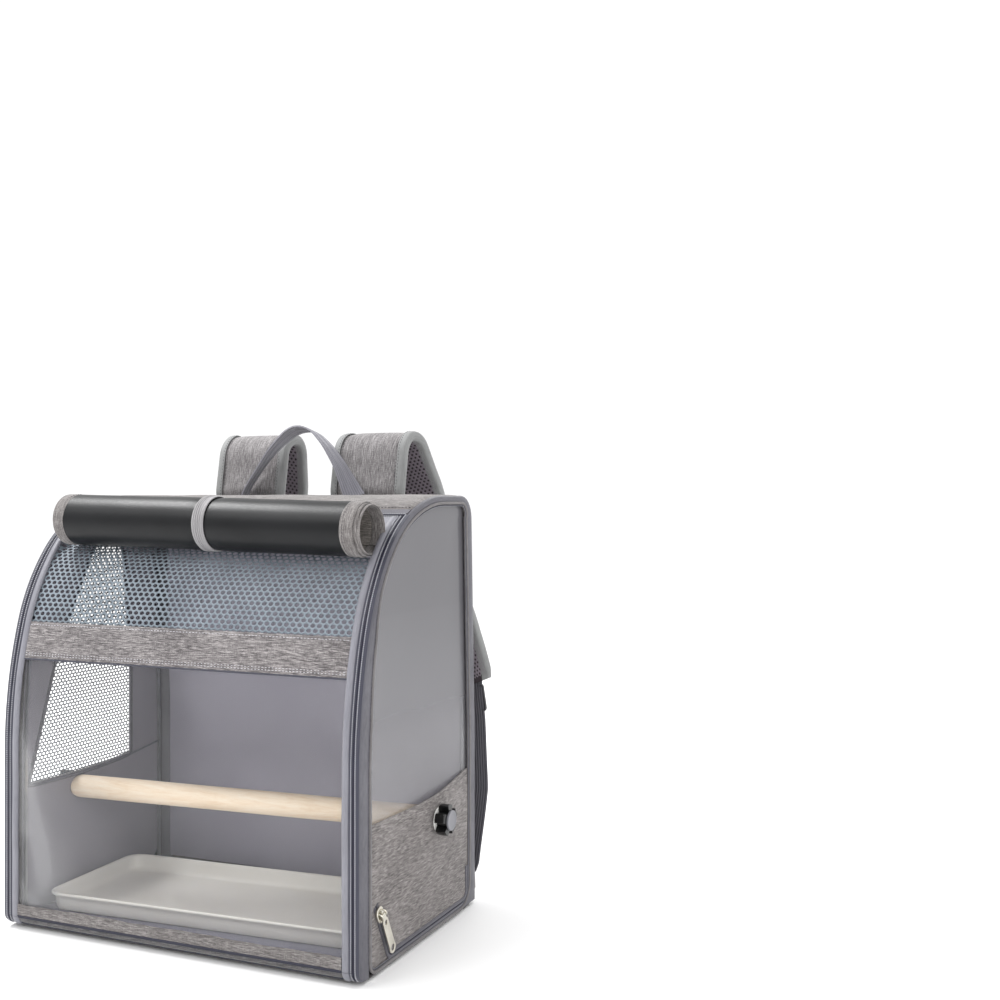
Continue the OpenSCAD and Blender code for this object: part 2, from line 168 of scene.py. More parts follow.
# =====================================================================
# mesh building
# =====================================================================
class MB:
    def __init__(self):
        self.v, self.f, self.uv, self.m, self.n = [], [], [], [], 0

    def add(self, V, F, UV, mat=0):
        """V (n,3) mm, F list of (k,) index tuples or an (m,k) array, UV per corner, same nesting, (.., 2) in mm"""
        V = np.asarray(V, float).reshape(-1, 3)
        self.v.append(V)
        for f in (F.tolist() if isinstance(F, np.ndarray) else F):
            self.f.append([i + self.n for i in f])
        for u in (UV.reshape(len(F), -1, 2) if isinstance(UV, np.ndarray) else UV):
            self.uv.append(np.asarray(u, float).reshape(-1, 2))
        self.m += [mat] * len(F)
        self.n += len(V)
        return self.n - len(V)

    def grid(self, P, cu=False, cv=False, uv=None, mat=0, flip=False, mats=None):
        nu, nv = P.shape[:2]
        iu, iv = np.arange(nu if cu else nu - 1), np.arange(nv if cv else nv - 1)
        I, J = np.meshgrid(iu, iv, indexing="ij")
        I2, J2 = (I + 1) % nu, (J + 1) % nv
        F = np.stack([I * nv + J, I2 * nv + J, I2 * nv + J2, I * nv + J2], -1).reshape(-1, 4)
        if uv is None:
            uv = np.zeros((nu + cu, nv + cv, 2))
        U = np.stack([uv[I, J], uv[I + 1, J], uv[I + 1, J + 1], uv[I, J + 1]], -2).reshape(-1, 4, 2)
        if flip:
            F, U = F[:, ::-1], U[:, ::-1]
        base = self.add(P.reshape(-1, 3), F, U, mat)
        if mats is not None:
            mm = np.broadcast_to(np.asarray(mats), (len(iu), len(iv))).reshape(-1)
            self.m[len(self.m) - len(F):] = [int(x) for x in mm]
        return base

    def build(self, name, mats, body="shell", rep=(), slot=None, smooth=True, angle=40, weld=0.0, scale=MM):
        me = bpy.data.meshes.new(name)
        V = np.concatenate(self.v) * scale
        me.from_pydata(V.tolist(), [], self.f)
        if self.uv:
            layer = me.uv_layers.new(name="UVMap")
            flat = np.concatenate(self.uv).astype(np.float32) * 0.001
            if len(flat) == len(me.loops):
                layer.uv.foreach_set("vector", flat.ravel())
        for m in mats:
            me.materials.append(m)
        me.polygons.foreach_set("material_index", np.array(self.m, np.int32))
        if weld:
            import bmesh
            bm = bmesh.new()
            bm.from_mesh(me)
            bmesh.ops.remove_doubles(bm, verts=bm.verts, dist=weld * scale)
            bm.to_mesh(me)
            bm.free()
        me.validate()
        if smooth:
            me.polygons.foreach_set("use_smooth", np.ones(len(me.polygons), bool))
            me.set_sharp_from_angle(angle=RAD(angle))
        ob = bpy.data.objects.new(name, me)
        bpy.context.scene.collection.objects.link(ob)
        if body:
            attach(ob, body)
        if rep:
            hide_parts(*rep)
        return ob


def cum(P):
    return np.concatenate([[0], np.cumsum(np.linalg.norm(np.diff(P, axis=0), axis=1))])


def sweep(mb, C, A, B, sec, mat=0, closed=False, caps=True, mats=None, closed_sec=True, u0=0.0):
    """section (m,2) or (n,m,2) in the frame A, B along the path C. Section order counterclockwise seen with A right, B up, path away from the viewer."""
    C, A, B = (np.asarray(x, float) for x in (C, A, B))
    n = len(C)
    sec = np.asarray(sec, float)
    if sec.ndim == 2:
        sec = np.broadcast_to(sec, (n,) + sec.shape)
    P = C[:, None] + A[:, None] * sec[..., 0:1] + B[:, None] * sec[..., 1:2]
    u = u0 + cum(np.vstack([C, C[:1]]) if closed else C)
    s0 = sec[n // 2]
    v = cum(np.vstack([s0, s0[:1]]) if closed_sec else s0)
    uv = np.stack(np.meshgrid(u, v, indexing="ij"), -1)
    base = mb.grid(P, closed, closed_sec, uv, mat, mats=mats)
    if caps and not closed and closed_sec:
        m = sec.shape[1]
        mb.add(P[0], [list(range(m))], [sec[0]], mat if mats is None else int(np.asarray(mats).reshape(-1)[0]))
        mb.add(P[-1], [list(range(m))[::-1]], [sec[-1][::-1]], mat if mats is None else int(np.asarray(mats).reshape(-1)[0]))
    return P


def shell(mb, Pf, Pb, uv, mat=0, mat_back=None, mat_edge=None):
    """closed thick sheet between two grids of the same shape; front grid's faces look along du x dv"""
    nu, nv = Pf.shape[:2]
    mat_back = mat if mat_back is None else mat_back
    mat_edge = mat if mat_edge is None else mat_edge
    V = np.concatenate([Pf.reshape(-1, 3), Pb.reshape(-1, 3)])
    o = nu * nv
    I, J = np.meshgrid(np.arange(nu - 1), np.arange(nv - 1), indexing="ij")
    F = np.stack([I * nv + J, (I + 1) * nv + J, (I + 1) * nv + J + 1, I * nv + J + 1], -1).reshape(-1, 4)
    U = np.stack([uv[I, J], uv[I + 1, J], uv[I + 1, J + 1], uv[I, J + 1]], -2).reshape(-1, 4, 2)
    faces, uvs, ms = [F, F[:, ::-1] + o], [U, U[:, ::-1]], [mat] * len(F) + [mat_back] * len(F)
    rim = [(i, 0) for i in range(nu)] + [(nu - 1, j) for j in range(1, nv)] + [(i, nv - 1) for i in range(nu - 2, -1, -1)] + [(0, j) for j in range(nv - 2, 0, -1)]
    ids = np.array([i * nv + j for i, j in rim])
    ru = np.array([uv[i, j] for i, j in rim])
    nx = np.roll(ids, -1)
    rn = np.roll(ru, -1, 0)
    S = np.stack([nx, ids, ids + o, nx + o], -1)
    SU = np.stack([rn, ru, ru + [0, 1.0], rn + [0, 1.0]], -2)
    faces.append(S)
    uvs.append(SU)
    ms += [mat_edge] * len(S)
    base = mb.add(V, np.concatenate(faces), np.concatenate(uvs), 0)
    mb.m[len(mb.m) - len(ms):] = ms
    return base


def edge_fade(nu, nv, ku, kv):
    """1 in the middle and 0 at the rim of a grid, rising over ku and kv of each side"""
    u, v = np.linspace(0, 1, nu), np.linspace(0, 1, nv)
    f = lambda t, k: np.clip(np.minimum(t, 1 - t) / max(k, 1e-6), 0, 1)
    g = lambda x: np.sin(x * math.pi / 2)
    return np.outer(g(f(u, ku)), g(f(v, kv)))


def wrinkle(a, b, seed, amp, terms=7, low=0.006, high=0.035, ang=None, spread=3.2):
    """sum of a few soft waves over coordinates in mm"""
    r = np.random.default_rng(seed)
    out = np.zeros_like(a, float)
    for i in range(terms):
        f = r.uniform(low, high)
        t = r.uniform(0, spread) + (ang or 0)
        out += np.sin(2 * math.pi * f * (a * math.cos(t) + b * math.sin(t)) + r.uniform(0, 6.3) + 1.2 * np.sin(a * f * 1.7 + b * f * 1.1 + r.uniform(0, 6))) * (low / f) ** 0.6
    return amp * out / math.sqrt(terms)


def along(P, pitch, phase=0.5, start=0.0, end=None):
    """points, tangents and arc lengths each pitch along a polyline"""
    P = np.asarray(P, float)
    L = cum(P)
    end = L[-1] if end is None else end
    n = max(1, int((end - start) / pitch))
    t = start + (np.arange(n) + phase) * (end - start) / n
    Q = np.stack([np.interp(t, L, P[:, k]) for k in range(3)], 1)
    e = 0.4
    Q2 = np.stack([np.interp(t + e, L, P[:, k]) for k in range(3)], 1)
    Q1 = np.stack([np.interp(t - e, L, P[:, k]) for k in range(3)], 1)
    T = Q2 - Q1
    T /= np.maximum(np.linalg.norm(T, axis=1)[:, None], 1e-9)
    return Q, T, t


def unit(v):
    v = np.asarray(v, float)
    return v / np.maximum(np.linalg.norm(v, axis=-1, keepdims=True), 1e-9)


_PILL = np.array([[-1, -0.55, 0], [-1, 0.55, 0], [-0.55, 1, 0], [0.55, 1, 0], [1, 0.55, 0], [1, -0.55, 0], [0.55, -1, 0], [-0.55, -1, 0]], float)


def pills(mb, Q, T, N, length, width, height, mat=0, slant=0.0, sink=0.25):
    """little rounded bars: stitches or zip teeth. T is along the bar, N out of the cloth"""
    T, N = unit(T), unit(N)
    B = unit(np.cross(N, T))
    if slant:
        T = unit(T + B * slant)
        B = unit(np.cross(N, T))
    base = _PILL * [length / 2, width / 2, 1]
    top = _PILL * [length / 2 * 0.62, width / 2 * 0.45, 1]
    n = len(Q)
    loc = np.concatenate([base + [0, 0, -sink], top + [0, 0, height]])
    V = Q[:, None] + T[:, None] * loc[None, :, 0:1] + B[:, None] * loc[None, :, 1:2] + N[:, None] * loc[None, :, 2:3]
    F = []
    for i in range(8):
        j = (i + 1) % 8
        F.append([j, i, i + 8, j + 8])
    tri = [[8, 15, 14], [8, 14, 9], [9, 14, 13, 10], [10, 13, 12, 11]]
    F4 = np.array(F)
    off = (np.arange(n) * 16)[:, None, None]
    quads = (F4[None] + off).reshape(-1, 4)
    topq = (np.array([[15, 14, 9, 8], [14, 13, 10, 9], [13, 12, 11, 10]])[None] + off).reshape(-1, 4)
    low = (np.array([[0, 1, 6, 7], [1, 2, 5, 6], [2, 3, 4, 5]])[None] + off).reshape(-1, 4)
    al = np.concatenate([quads, topq, low])
    mb.add(V.reshape(-1, 3), al, np.zeros((len(al), 4, 2)), mat)


def net(mb, fn, u0, u1, v0, v1, a=5.9, b=4.0, ru=1.62, rv=1.55, h=0.55, mask=None, mat=0):
    """perforated cloth: staggered holes with rounded strands. fn(u, v) -> points, normals in mm"""
    cols, rows = int((u1 - u0) / a) + 2, int((v1 - v0) / b) + 1
    cu, cv = [], []
    for r in range(rows):
        for c in range(cols):
            x = u0 + (c + (0.5 if r % 2 else 0.0)) * a
            y = v0 + (r + 0.5) * b
            if x < u0 - 0.1 or x > u1 + 0.1 or y > v1:
                continue
            if mask is None or mask(x, y):
                cu.append(x)
                cv.append(y)
    cu, cv = np.array(cu), np.array(cv)
    y1, y2 = b / 2 - a * a / (8 * b), b / 2 + a * a / (8 * b)
    hexv = np.array([[a / 2, -y1], [a / 2, y1], [0, y2], [-a / 2, y1], [-a / 2, -y1], [0, -y2]])
    ring = []
    for i in range(6):
        p, q = hexv[i], hexv[(i + 1) % 6]
        ring += [p, (p + q) / 2]
    ring = np.array(ring)
    ang = np.arctan2(ring[:, 1], ring[:, 0])
    hole = np.stack([ru * np.cos(ang), rv * np.sin(ang)], 1)
    n = len(cu)
    outer = np.stack([cu, cv], 1)[:, None] + ring[None]
    inner = np.stack([cu, cv], 1)[:, None] + hole[None]
    key = np.round(outer.reshape(-1, 2) * 20).astype(np.int64)
    uniq, idx, inv = np.unique(key, axis=0, return_index=True, return_inverse=True)
    inv = np.asarray(inv).reshape(-1)
    OU = outer.reshape(-1, 2)[idx]
    IN = inner.reshape(-1, 2)
    PO, NO = fn(OU[:, 0], OU[:, 1])
    PI, NI = fn(IN[:, 0], IN[:, 1])
    nO = len(OU)
    V = np.concatenate([PO + NO * h, PO - NO * h, PI])
    k = np.arange(12)
    k2 = (k + 1) % 12
    oi = inv.reshape(n, 12)
    ii = 2 * nO + np.arange(n)[:, None] * 12 + k[None]
    top = np.stack([oi[:, k], oi[:, k2], ii[:, k2], ii[:, k]], -1).reshape(-1, 4)
    bot = np.stack([oi[:, k2] + nO, oi[:, k] + nO, ii[:, k], ii[:, k2]], -1).reshape(-1, 4)
    e = np.stack([oi[:, k], oi[:, k2]], -1).reshape(-1, 2)
    es = np.sort(e, 1)
    _, first, cnt = np.unique(es, axis=0, return_index=True, return_counts=True)
    rim = e[first[cnt == 1]]
    walls = np.stack([rim[:, 1], rim[:, 0], rim[:, 0] + nO, rim[:, 1] + nO], -1)
    F = np.concatenate([top, bot, walls])
    uvp = np.concatenate([OU, OU, IN])
    mb.add(V, F, uvp[F], mat)


# =====================================================================
# materials
# =====================================================================
def lin(*c):
    f = lambda x: (x / 255) / 12.92 if x / 255 <= 0.04045 else ((x / 255 + 0.055) / 1.055) ** 2.4
    return tuple(f(x) for x in c) + (1.0,)


class Nodes:
    def __init__(self, name, rough=0.6, spec=0.5, sheen=0.0, metal=0.0, sheen_rough=0.5, coat=0.0, coat_rough=0.1, ior=1.45):
        self.m = bpy.data.materials.new(name)
        self.m.use_nodes = True
        self.nt = self.m.node_tree
        self.b = self.nt.nodes["Principled BSDF"]
        self.out = self.nt.nodes["Material Output"]
        s = self.b.inputs
        s["Roughness"].default_value = rough
        s["Specular IOR Level"].default_value = spec
        s["Sheen Weight"].default_value = sheen
        s["Sheen Roughness"].default_value = sheen_rough
        s["Metallic"].default_value = metal
        s["Coat Weight"].default_value = coat
        s["Coat Roughness"].default_value = coat_rough
        s["IOR"].default_value = ior
        self.tc = self.nt.nodes.new("ShaderNodeTexCoord")

    def new(self, t, **kw):
        n = self.nt.nodes.new(t)
        for k, v in kw.items():
            setattr(n, k, v)
        return n

    def link(self, a, b):
        self.nt.links.new(a, b)

    def coords(self, kind, scale=(1, 1, 1), rot=(0, 0, 0), loc=(0, 0, 0)):
        mp = self.new("ShaderNodeMapping")
        mp.inputs["Scale"].default_value = scale
        mp.inputs["Rotation"].default_value = rot
        mp.inputs["Location"].default_value = loc
        self.link(self.tc.outputs[kind], mp.inputs["Vector"])
        return mp.outputs[0]

    def noise(self, vec, scale=1.0, detail=2.0, rough=0.5, dist=0.0):
        n = self.new("ShaderNodeTexNoise")
        n.inputs["Scale"].default_value = scale
        n.inputs["Detail"].default_value = detail
        n.inputs["Roughness"].default_value = rough
        n.inputs["Distortion"].default_value = dist
        self.link(vec, n.inputs["Vector"])
        return n.outputs["Fac"] if "Fac" in n.outputs else n.outputs[0]

    def math(self, op, a, b=None, c=None, clamp=False):
        n = self.new("ShaderNodeMath", operation=op, use_clamp=clamp)
        for i, x in enumerate((a, b, c)):
            if x is None:
                continue
            if isinstance(x, (int, float)):
                n.inputs[i].default_value = x
            else:
                self.link(x, n.inputs[i])
        return n.outputs[0]

    def ramp(self, fac, stops, interp="LINEAR"):
        n = self.new("ShaderNodeValToRGB")
        n.color_ramp.interpolation = interp
        e = n.color_ramp.elements
        while len(e) > 1:
            e.remove(e[-1])
        e[0].position, e[0].color = stops[0]
        for p, c in stops[1:]:
            x = e.new(p)
            x.color = c
        self.link(fac, n.inputs["Fac"])
        return n.outputs["Color"]

    def mix(self, fac, a, b, blend="MIX"):
        n = self.new("ShaderNodeMix", data_type="RGBA", blend_type=blend)
        if isinstance(fac, (int, float)):
            n.inputs["Factor"].default_value = fac
        else:
            self.link(fac, n.inputs["Factor"])
        for sock, x in (("A", a), ("B", b)):
            i = [s for s in n.inputs if s.name == sock and s.type == "RGBA"][0]
            if isinstance(x, tuple):
                i.default_value = x
            else:
                self.link(x, i)
        return [o for o in n.outputs if o.type == "RGBA"][0]

    def color(self, c):
        if isinstance(c, tuple):
            self.b.inputs["Base Color"].default_value = c
        else:
            self.link(c, self.b.inputs["Base Color"])

    def rough(self, r):
        self.link(r, self.b.inputs["Roughness"])

    def bump(self, height, dist, strength=1.0, prev=None):
        n = self.new("ShaderNodeBump")
        n.inputs["Strength"].default_value = strength
        n.inputs["Distance"].default_value = dist
        self.link(height, n.inputs["Height"])
        if prev is not None:
            self.link(prev, n.inputs["Normal"])
        self.link(n.outputs[0], self.b.inputs["Normal"])
        return n.outputs[0]

    def sines(self, vec, pu, pv, mode="MULTIPLY"):
        """weave height from two sine trains with periods in metres"""
        sp = self.new("ShaderNodeSeparateXYZ")
        self.link(vec, sp.inputs[0])
        outs = []
        for k, p in ((0, pu), (1, pv)):
            if not p:
                continue
            a = self.math("MULTIPLY", sp.outputs[k], 2 * math.pi / p)
            outs.append(self.math("SINE", a))
        if len(outs) == 1:
            return self.math("MULTIPLY_ADD", outs[0], 0.5, 0.5)
        r = self.math(mode, outs[0], outs[1])
        return self.math("MULTIPLY_ADD", r, 0.5, 0.5)


def heather(name, kind="UV", swap=False, dark=(66, 62, 62), mid=(109, 105, 104), light=(166, 162, 160), shift=0.0, rot=(0, 0, 0), contrast=1.0):
    """melange polyester: long soft streaks along the first coordinate, short ones across, and a speckle"""
    n = Nodes(name, rough=0.86, spec=0.25, sheen=0.25, sheen_rough=0.4)
    long_, cross = (150, 2000), (2000, 210)
    sc = (lambda a, b: (a, b, a)) if not swap else (lambda a, b: (b, a, b))
    if kind == "Object":
        sc = (lambda a, b: (a, b, b)) if not swap else (lambda a, b: (b, a, b))
    v1 = n.coords(kind, sc(*long_), rot, (3.1 + shift, 1.7, 0.3))
    v2 = n.coords(kind, sc(cross[0], cross[1]) if not swap else sc(cross[0], cross[1]), rot, (7.3, 2.2 + shift, 0.9))
    v3 = n.coords(kind, (2300, 2300, 2300), rot)
    v4 = n.coords(kind, (22, 22, 22), rot)
    a = n.noise(v1, 1.0, 3.0, 0.62)
    b = n.noise(v2, 1.0, 2.0, 0.5)
    c = n.noise(v3, 1.0, 1.0, 0.5)
    d = n.noise(v4, 1.0, 2.0, 0.5)
    s = n.math("MULTIPLY_ADD", a, 0.56, n.math("MULTIPLY", b, 0.17))
    s = n.math("ADD", s, n.math("MULTIPLY", c, 0.33))
    s = n.math("ADD", s, n.math("MULTIPLY_ADD", d, 0.10, -0.05))
    lo, hi = 0.53 - 0.145 / contrast, 0.53 + 0.145 / contrast
    col = n.ramp(s, [(lo, lin(*dark)), ((lo + hi) / 2 - 0.01, lin(*mid)), (hi, lin(*light))])
    n.color(col)
    w = n.sines(n.coords(kind, (1, 1, 1), rot), 0.0011, 0.0011)
    hgt = n.math("MULTIPLY_ADD", w, 0.4, n.math("MULTIPLY", s, 1.2))
    n.bump(hgt, 0.0003, 0.5)
    return n.m


def tape(name, base=(82, 81, 89), kind="UV", rough=0.42, rib=0.0009, sheen=0.15, spec=0.5, var=10):
    """satin binding tape: fine cross ribs, soft shine"""
    n = Nodes(name, rough=rough, spec=spec, sheen=sheen, sheen_rough=0.35)
    v = n.coords(kind, (140, 1600, 140))
    a = n.noise(v, 1.0, 2.0)
    b = n.noise(n.coords(kind, (24, 60, 24)), 1.0, 2.0)
    s = n.math("MULTIPLY_ADD", a, 0.5, n.math("MULTIPLY", b, 0.5))
    k = lambda x: tuple(max(0, min(255, c + x)) for c in base)
    n.color(n.ramp(s, [(0.36, lin(*k(-var))), (0.62, lin(*k(var)))]))
    w = n.sines(n.coords(kind, (1, 1, 1)), rib, 0.0006)
    n.bump(n.math("MULTIPLY_ADD", w, 0.6, n.math("MULTIPLY", a, 0.4)), 0.0002, 0.45)
    return n.m


def webbing(name, base=(128, 127, 136), ribs=0.0026, rough=0.55, depth=0.0006, kind="UV", var=14, spec=0.4):
    """woven strap: ribs along its length and small diagonal picks"""
    n = Nodes(name, rough=rough, spec=spec, sheen=0.2)
    vec = n.coords(kind, (1, 1, 1))
    r = n.sines(vec, 0, ribs) if kind == "UV" else n.sines(vec, ribs, 0)
    d = n.sines(n.coords(kind, (1, 1, 1), (0, 0, RAD(32))), 0.0012, 0.0022)
    a = n.noise(n.coords(kind, (90, 1400, 90)), 1.0, 2.0)
    s = n.math("MULTIPLY_ADD", r, 0.45, n.math("MULTIPLY", d, 0.2))
    s = n.math("MULTIPLY_ADD", a, 0.5, s)
    k = lambda x: tuple(max(0, min(255, c + x)) for c in base)
    n.color(n.ramp(s, [(0.28, lin(*k(-var * 1.6))), (0.55, lin(*k(0))), (0.85, lin(*k(var)))]))
    n.bump(n.math("MULTIPLY_ADD", r, 0.8, n.math("MULTIPLY", d, 0.35)), depth, 0.8)
    return n.m


def nylon(name, base=(136, 133, 142), kind="UV", rough=0.5, var=5, bump=0.0006, sheen=0.1):
    """thin coated lining: plain weave too fine to see, slow puckers and a dull shine"""
    n = Nodes(name, rough=rough, spec=0.35, sheen=sheen)
    a = n.noise(n.coords(kind, (9, 9, 9)), 1.0, 3.0, 0.55, 0.6)
    c = n.noise(n.coords(kind, (1500, 1500, 1500)), 1.0, 1.0)
    s = n.math("MULTIPLY_ADD", a, 0.8, n.math("MULTIPLY", c, 0.2))
    k = lambda x: tuple(max(0, min(255, q + x)) for q in base)
    n.color(n.ramp(s, [(0.38, lin(*k(-var))), (0.66, lin(*k(var)))]))
    w = n.sines(n.coords(kind, (1, 1, 1)), 0.0008, 0.0008)
    n.bump(n.math("MULTIPLY_ADD", a, 3.0, n.math("MULTIPLY", w, 0.08)), bump, 0.5)
    return n.m


def film(name, tint=(225, 230, 235), body=0.06, rough=0.06, edge=0.5, spec=0.5, haze=0.02, height_shade=None):
    """clear vinyl: mostly see-through, glossy at grazing angles"""
    n = Nodes(name, rough=rough, spec=spec)
    a = n.noise(n.coords("Object", (14, 14, 14)), 1.0, 2.0, 0.5, 0.8)
    n.color(n.ramp(a, [(0.35, lin(*[max(0, x - 10) for x in tint])), (0.65, lin(*tint))]))
    n.bump(a, 0.0012, 0.35)
    tr = n.new("ShaderNodeBsdfTransparent")
    tr.inputs["Color"].default_value = lin(*[max(236, min(255, x + 14)) for x in tint])
    lw = n.new("ShaderNodeLayerWeight")
    lw.inputs["Blend"].default_value = 0.28
    fac = n.math("MULTIPLY_ADD", lw.outputs["Fresnel"], edge, body, clamp=True)
    fac = n.math("MULTIPLY_ADD", a, haze, fac, clamp=True)
    # towards the top the film turns more opaque and is painted darker: painted shade of the dim interior seen through
    # it
    if height_shade:
        sep = n.new("ShaderNodeSeparateXYZ")
        n.link(n.coords("Object", (1, 1, 1)), sep.inputs[0])
        g = n.math("MULTIPLY_ADD", sep.outputs[2], height_shade[0], height_shade[1], clamp=True)
        fac = n.math("MULTIPLY_ADD", g, height_shade[2], fac, clamp=True)
        n.color(n.ramp(g, [(0.0, lin(172, 171, 174)), (0.45, lin(128, 127, 131)), (1.0, lin(100, 99, 103))]))
    mx = n.new("ShaderNodeMixShader")
    n.link(fac, mx.inputs[0])
    n.link(tr.outputs[0], mx.inputs[1])
    n.link(n.b.outputs[0], mx.inputs[2])
    n.link(mx.outputs[0], n.out.inputs["Surface"])
    return n.m


def plastic(name, base, rough=0.35, var=3, grain=0.00006, scale=900, spec=0.5, sss=0.0, kind="Object", coat=0.0):
    n = Nodes(name, rough=rough, spec=spec, coat=coat, coat_rough=0.2)
    a = n.noise(n.coords(kind, (scale,) * 3), 1.0, 2.0)
    b = n.noise(n.coords(kind, (30, 30, 30)), 1.0, 3.0)
    k = lambda x: tuple(max(0, min(255, c + x)) for c in base)
    n.color(n.ramp(b, [(0.35, lin(*k(-var))), (0.65, lin(*k(var)))]))
    n.rough(n.math("MULTIPLY_ADD", b, 0.16, rough - 0.08))
    n.bump(a, grain, 0.35)
    if sss:
        n.b.inputs["Subsurface Weight"].default_value = sss
        n.b.inputs["Subsurface Radius"].default_value = (0.004, 0.003, 0.002)
        n.b.inputs["Subsurface Scale"].default_value = 1.0
    return n.m


def metal(name, base, rough=0.2, var=12, scale=300):
    n = Nodes(name, rough=rough, metal=1.0)
    a = n.noise(n.coords("Object", (scale,) * 3), 1.0, 3.0)
    b = n.noise(n.coords("Object", (90, 90, 90)), 1.0, 3.0)
    k = lambda x: tuple(max(0, min(255, c + x)) for c in base)
    n.color(n.ramp(b, [(0.3, lin(*k(-var))), (0.7, lin(*k(var)))]))
    n.rough(n.math("MULTIPLY_ADD", b, 0.22, rough - 0.08))
    n.bump(a, 0.00005, 0.4)
    return n.m


def leather(name, base=(36, 36, 40)):
    """coated black cloth: pebbled grain, satin"""
    n = Nodes(name, rough=0.36, spec=0.3)
    vo = n.new("ShaderNodeTexVoronoi")
    vo.inputs["Scale"].default_value = 1.0
    n.link(n.coords("UV", (900, 900, 900)), vo.inputs["Vector"])
    a = n.noise(n.coords("UV", (420, 420, 420)), 1.0, 3.0, 0.6)
    b = n.noise(n.coords("UV", (16, 40, 16)), 1.0, 3.0, 0.5, 0.5)
    h = n.math("MULTIPLY_ADD", vo.outputs["Distance"], 0.6, n.math("MULTIPLY", a, 0.7))
    k = lambda x: tuple(max(0, min(255, c + x)) for c in base)
    n.color(n.ramp(b, [(0.35, lin(*k(-5))), (0.65, lin(*k(5)))]))
    n.rough(n.math("MULTIPLY_ADD", a, 0.2, 0.29))
    n.bump(h, 0.00018, 0.3)
    return n.m


def timber(name):
    """turned pale beech: fine grain along X, short flecks"""
    n = Nodes(name, rough=0.5, spec=0.35)
    v = n.coords("Object", (14, 300, 300))
    a = n.noise(v, 1.0, 4.0, 0.6, 0.25)
    f = n.noise(n.coords("Object", (160, 1800, 1800)), 1.0, 2.0)
    g = n.noise(n.coords("Object", (5, 60, 60)), 1.0, 2.0, 0.5, 0.8)
    s = n.math("MULTIPLY_ADD", a, 0.5, n.math("MULTIPLY_ADD", f, 0.2, n.math("MULTIPLY", g, 0.3)))
    n.color(n.ramp(s, [(0.34, lin(232, 204, 170)), (0.5, lin(246, 226, 200)), (0.66, lin(252, 238, 218))]))
    n.bump(n.math("MULTIPLY_ADD", a, 0.6, n.math("MULTIPLY", f, 0.4)), 0.0002, 0.35)
    return n.m


M = {
    "heather_u": heather("heather_u"),
    "heather_v": heather("heather_v", swap=True),
    "heather_dk": heather("heather_dk", dark=(74, 70, 68), mid=(124, 119, 115), light=(178, 172, 166)),
    "heather_band": heather("heather_band", dark=(60, 56, 57), mid=(108, 104, 105), light=(180, 175, 174), shift=4.0, contrast=1.2),
    "heather_side": heather("heather_side", dark=(62, 58, 58), mid=(110, 105, 104), light=(168, 163, 161), shift=9.0, contrast=1.2),
    "heather_base": heather("heather_base", dark=(56, 54, 55), mid=(88, 86, 87), light=(132, 130, 130)),
    "heather_strap": heather("heather_strap", dark=(74, 71, 72), mid=(122, 119, 120), light=(174, 171, 171), shift=13.0, contrast=1.1),
    "tape": tape("tape"),
    "tape_lt": tape("tape_lt", (126, 126, 134), rough=0.36, var=9),
    "tape_dk": tape("tape_dk", (92, 92, 104), rough=0.5, var=8),
    "piping": tape("piping_cloth", (108, 105, 106), rough=0.6, var=14, rib=0.0014),
    "bind": tape("strap_binding", (138, 139, 139), rough=0.7, var=10, spec=0.3),
    "coil": plastic("zip_coil", (44, 45, 60), rough=0.34, var=4),
    "zip_tape": webbing("zip_tape_cloth", (58, 59, 72), ribs=0.0009, depth=0.0003, var=8),
    "thread": plastic("thread", (206, 206, 212), rough=0.55, var=6, grain=0.0001, scale=2600),
    "thread_dk": plastic("thread_dark", (70, 68, 74), rough=0.6, var=5, grain=0.0001, scale=2600),
    "lining": nylon("lining"),
    # the back lining is the side lining's nylon painted lighter: painted light making up for the shade deep inside the
    # carrier
    "lining_back_lightened": nylon("lining_back_lightened", (164, 161, 174), rough=0.56, var=4, bump=0.0004),
    "lining_floor": webbing("lining_floor", (128, 127, 141), ribs=0.0019, depth=0.0003, var=10),
    "mesh": plastic("mesh_yarn", (118, 128, 137), rough=0.6, var=7, grain=0.0003, scale=1500, kind="UV"),
    "mesh_side": plastic("mesh_yarn_side", (98, 104, 113), rough=0.6, var=6, grain=0.0003, scale=1500, kind="UV"),
    "mesh_strap": plastic("mesh_yarn_strap", (134, 126, 134), rough=0.65, var=8, grain=0.0003, scale=1500, kind="UV"),
    "foam": plastic("foam_cloth", (62, 55, 60), rough=0.9, var=6, grain=0.0003, scale=1200),
    "film": film("clear_film", tint=(252, 253, 254), body=0.012, edge=0.16, haze=0.012),
    # the side film is painted darker towards its top, as painted shade of the interior behind it
    "film_side": film("side_film", tint=(112, 112, 116), body=0.13, rough=0.14, edge=0.14, haze=0.06, height_shade=(6.5, -0.76, 0.72)),
    "leather": leather("coated_black", (9, 10, 13)),
    "nickel": metal("nickel", (206, 202, 190), rough=0.2),
    "steel": metal("spring_steel", (170, 172, 176), rough=0.3),
    "gun": metal("gun_metal", (70, 70, 76), rough=0.32),
    "wood": timber("beech"),
    "tray": plastic("tray_plastic", (226, 223, 217), rough=0.36, var=2, grain=0.00006, scale=500, sss=0.05),
    "black": plastic("black_plastic", (15, 15, 16), rough=0.3, var=3),
    "lock": plastic("buckle_plastic", (48, 48, 52), rough=0.36, var=4),
    "grey": plastic("grey_plastic", (120, 120, 126), rough=0.4, var=4),
    "white": plastic("white_plastic", (232, 232, 228), rough=0.35, var=3),
    "board": plastic("fibre_board", (58, 56, 54), rough=0.8, var=8, grain=0.0002, scale=700),
    "web": webbing("webbing", (130, 129, 138)),
    "web_dk": webbing("webbing_dark", (74, 73, 80), ribs=0.0022, rough=0.5),
    "elastic": webbing("elastic", (146, 144, 146), ribs=0.0021, depth=0.0007, var=16),
}



def assign(node, mat):
    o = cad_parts[node]
    o.data.materials.clear()
    o.data.materials.append(mat)
    return o


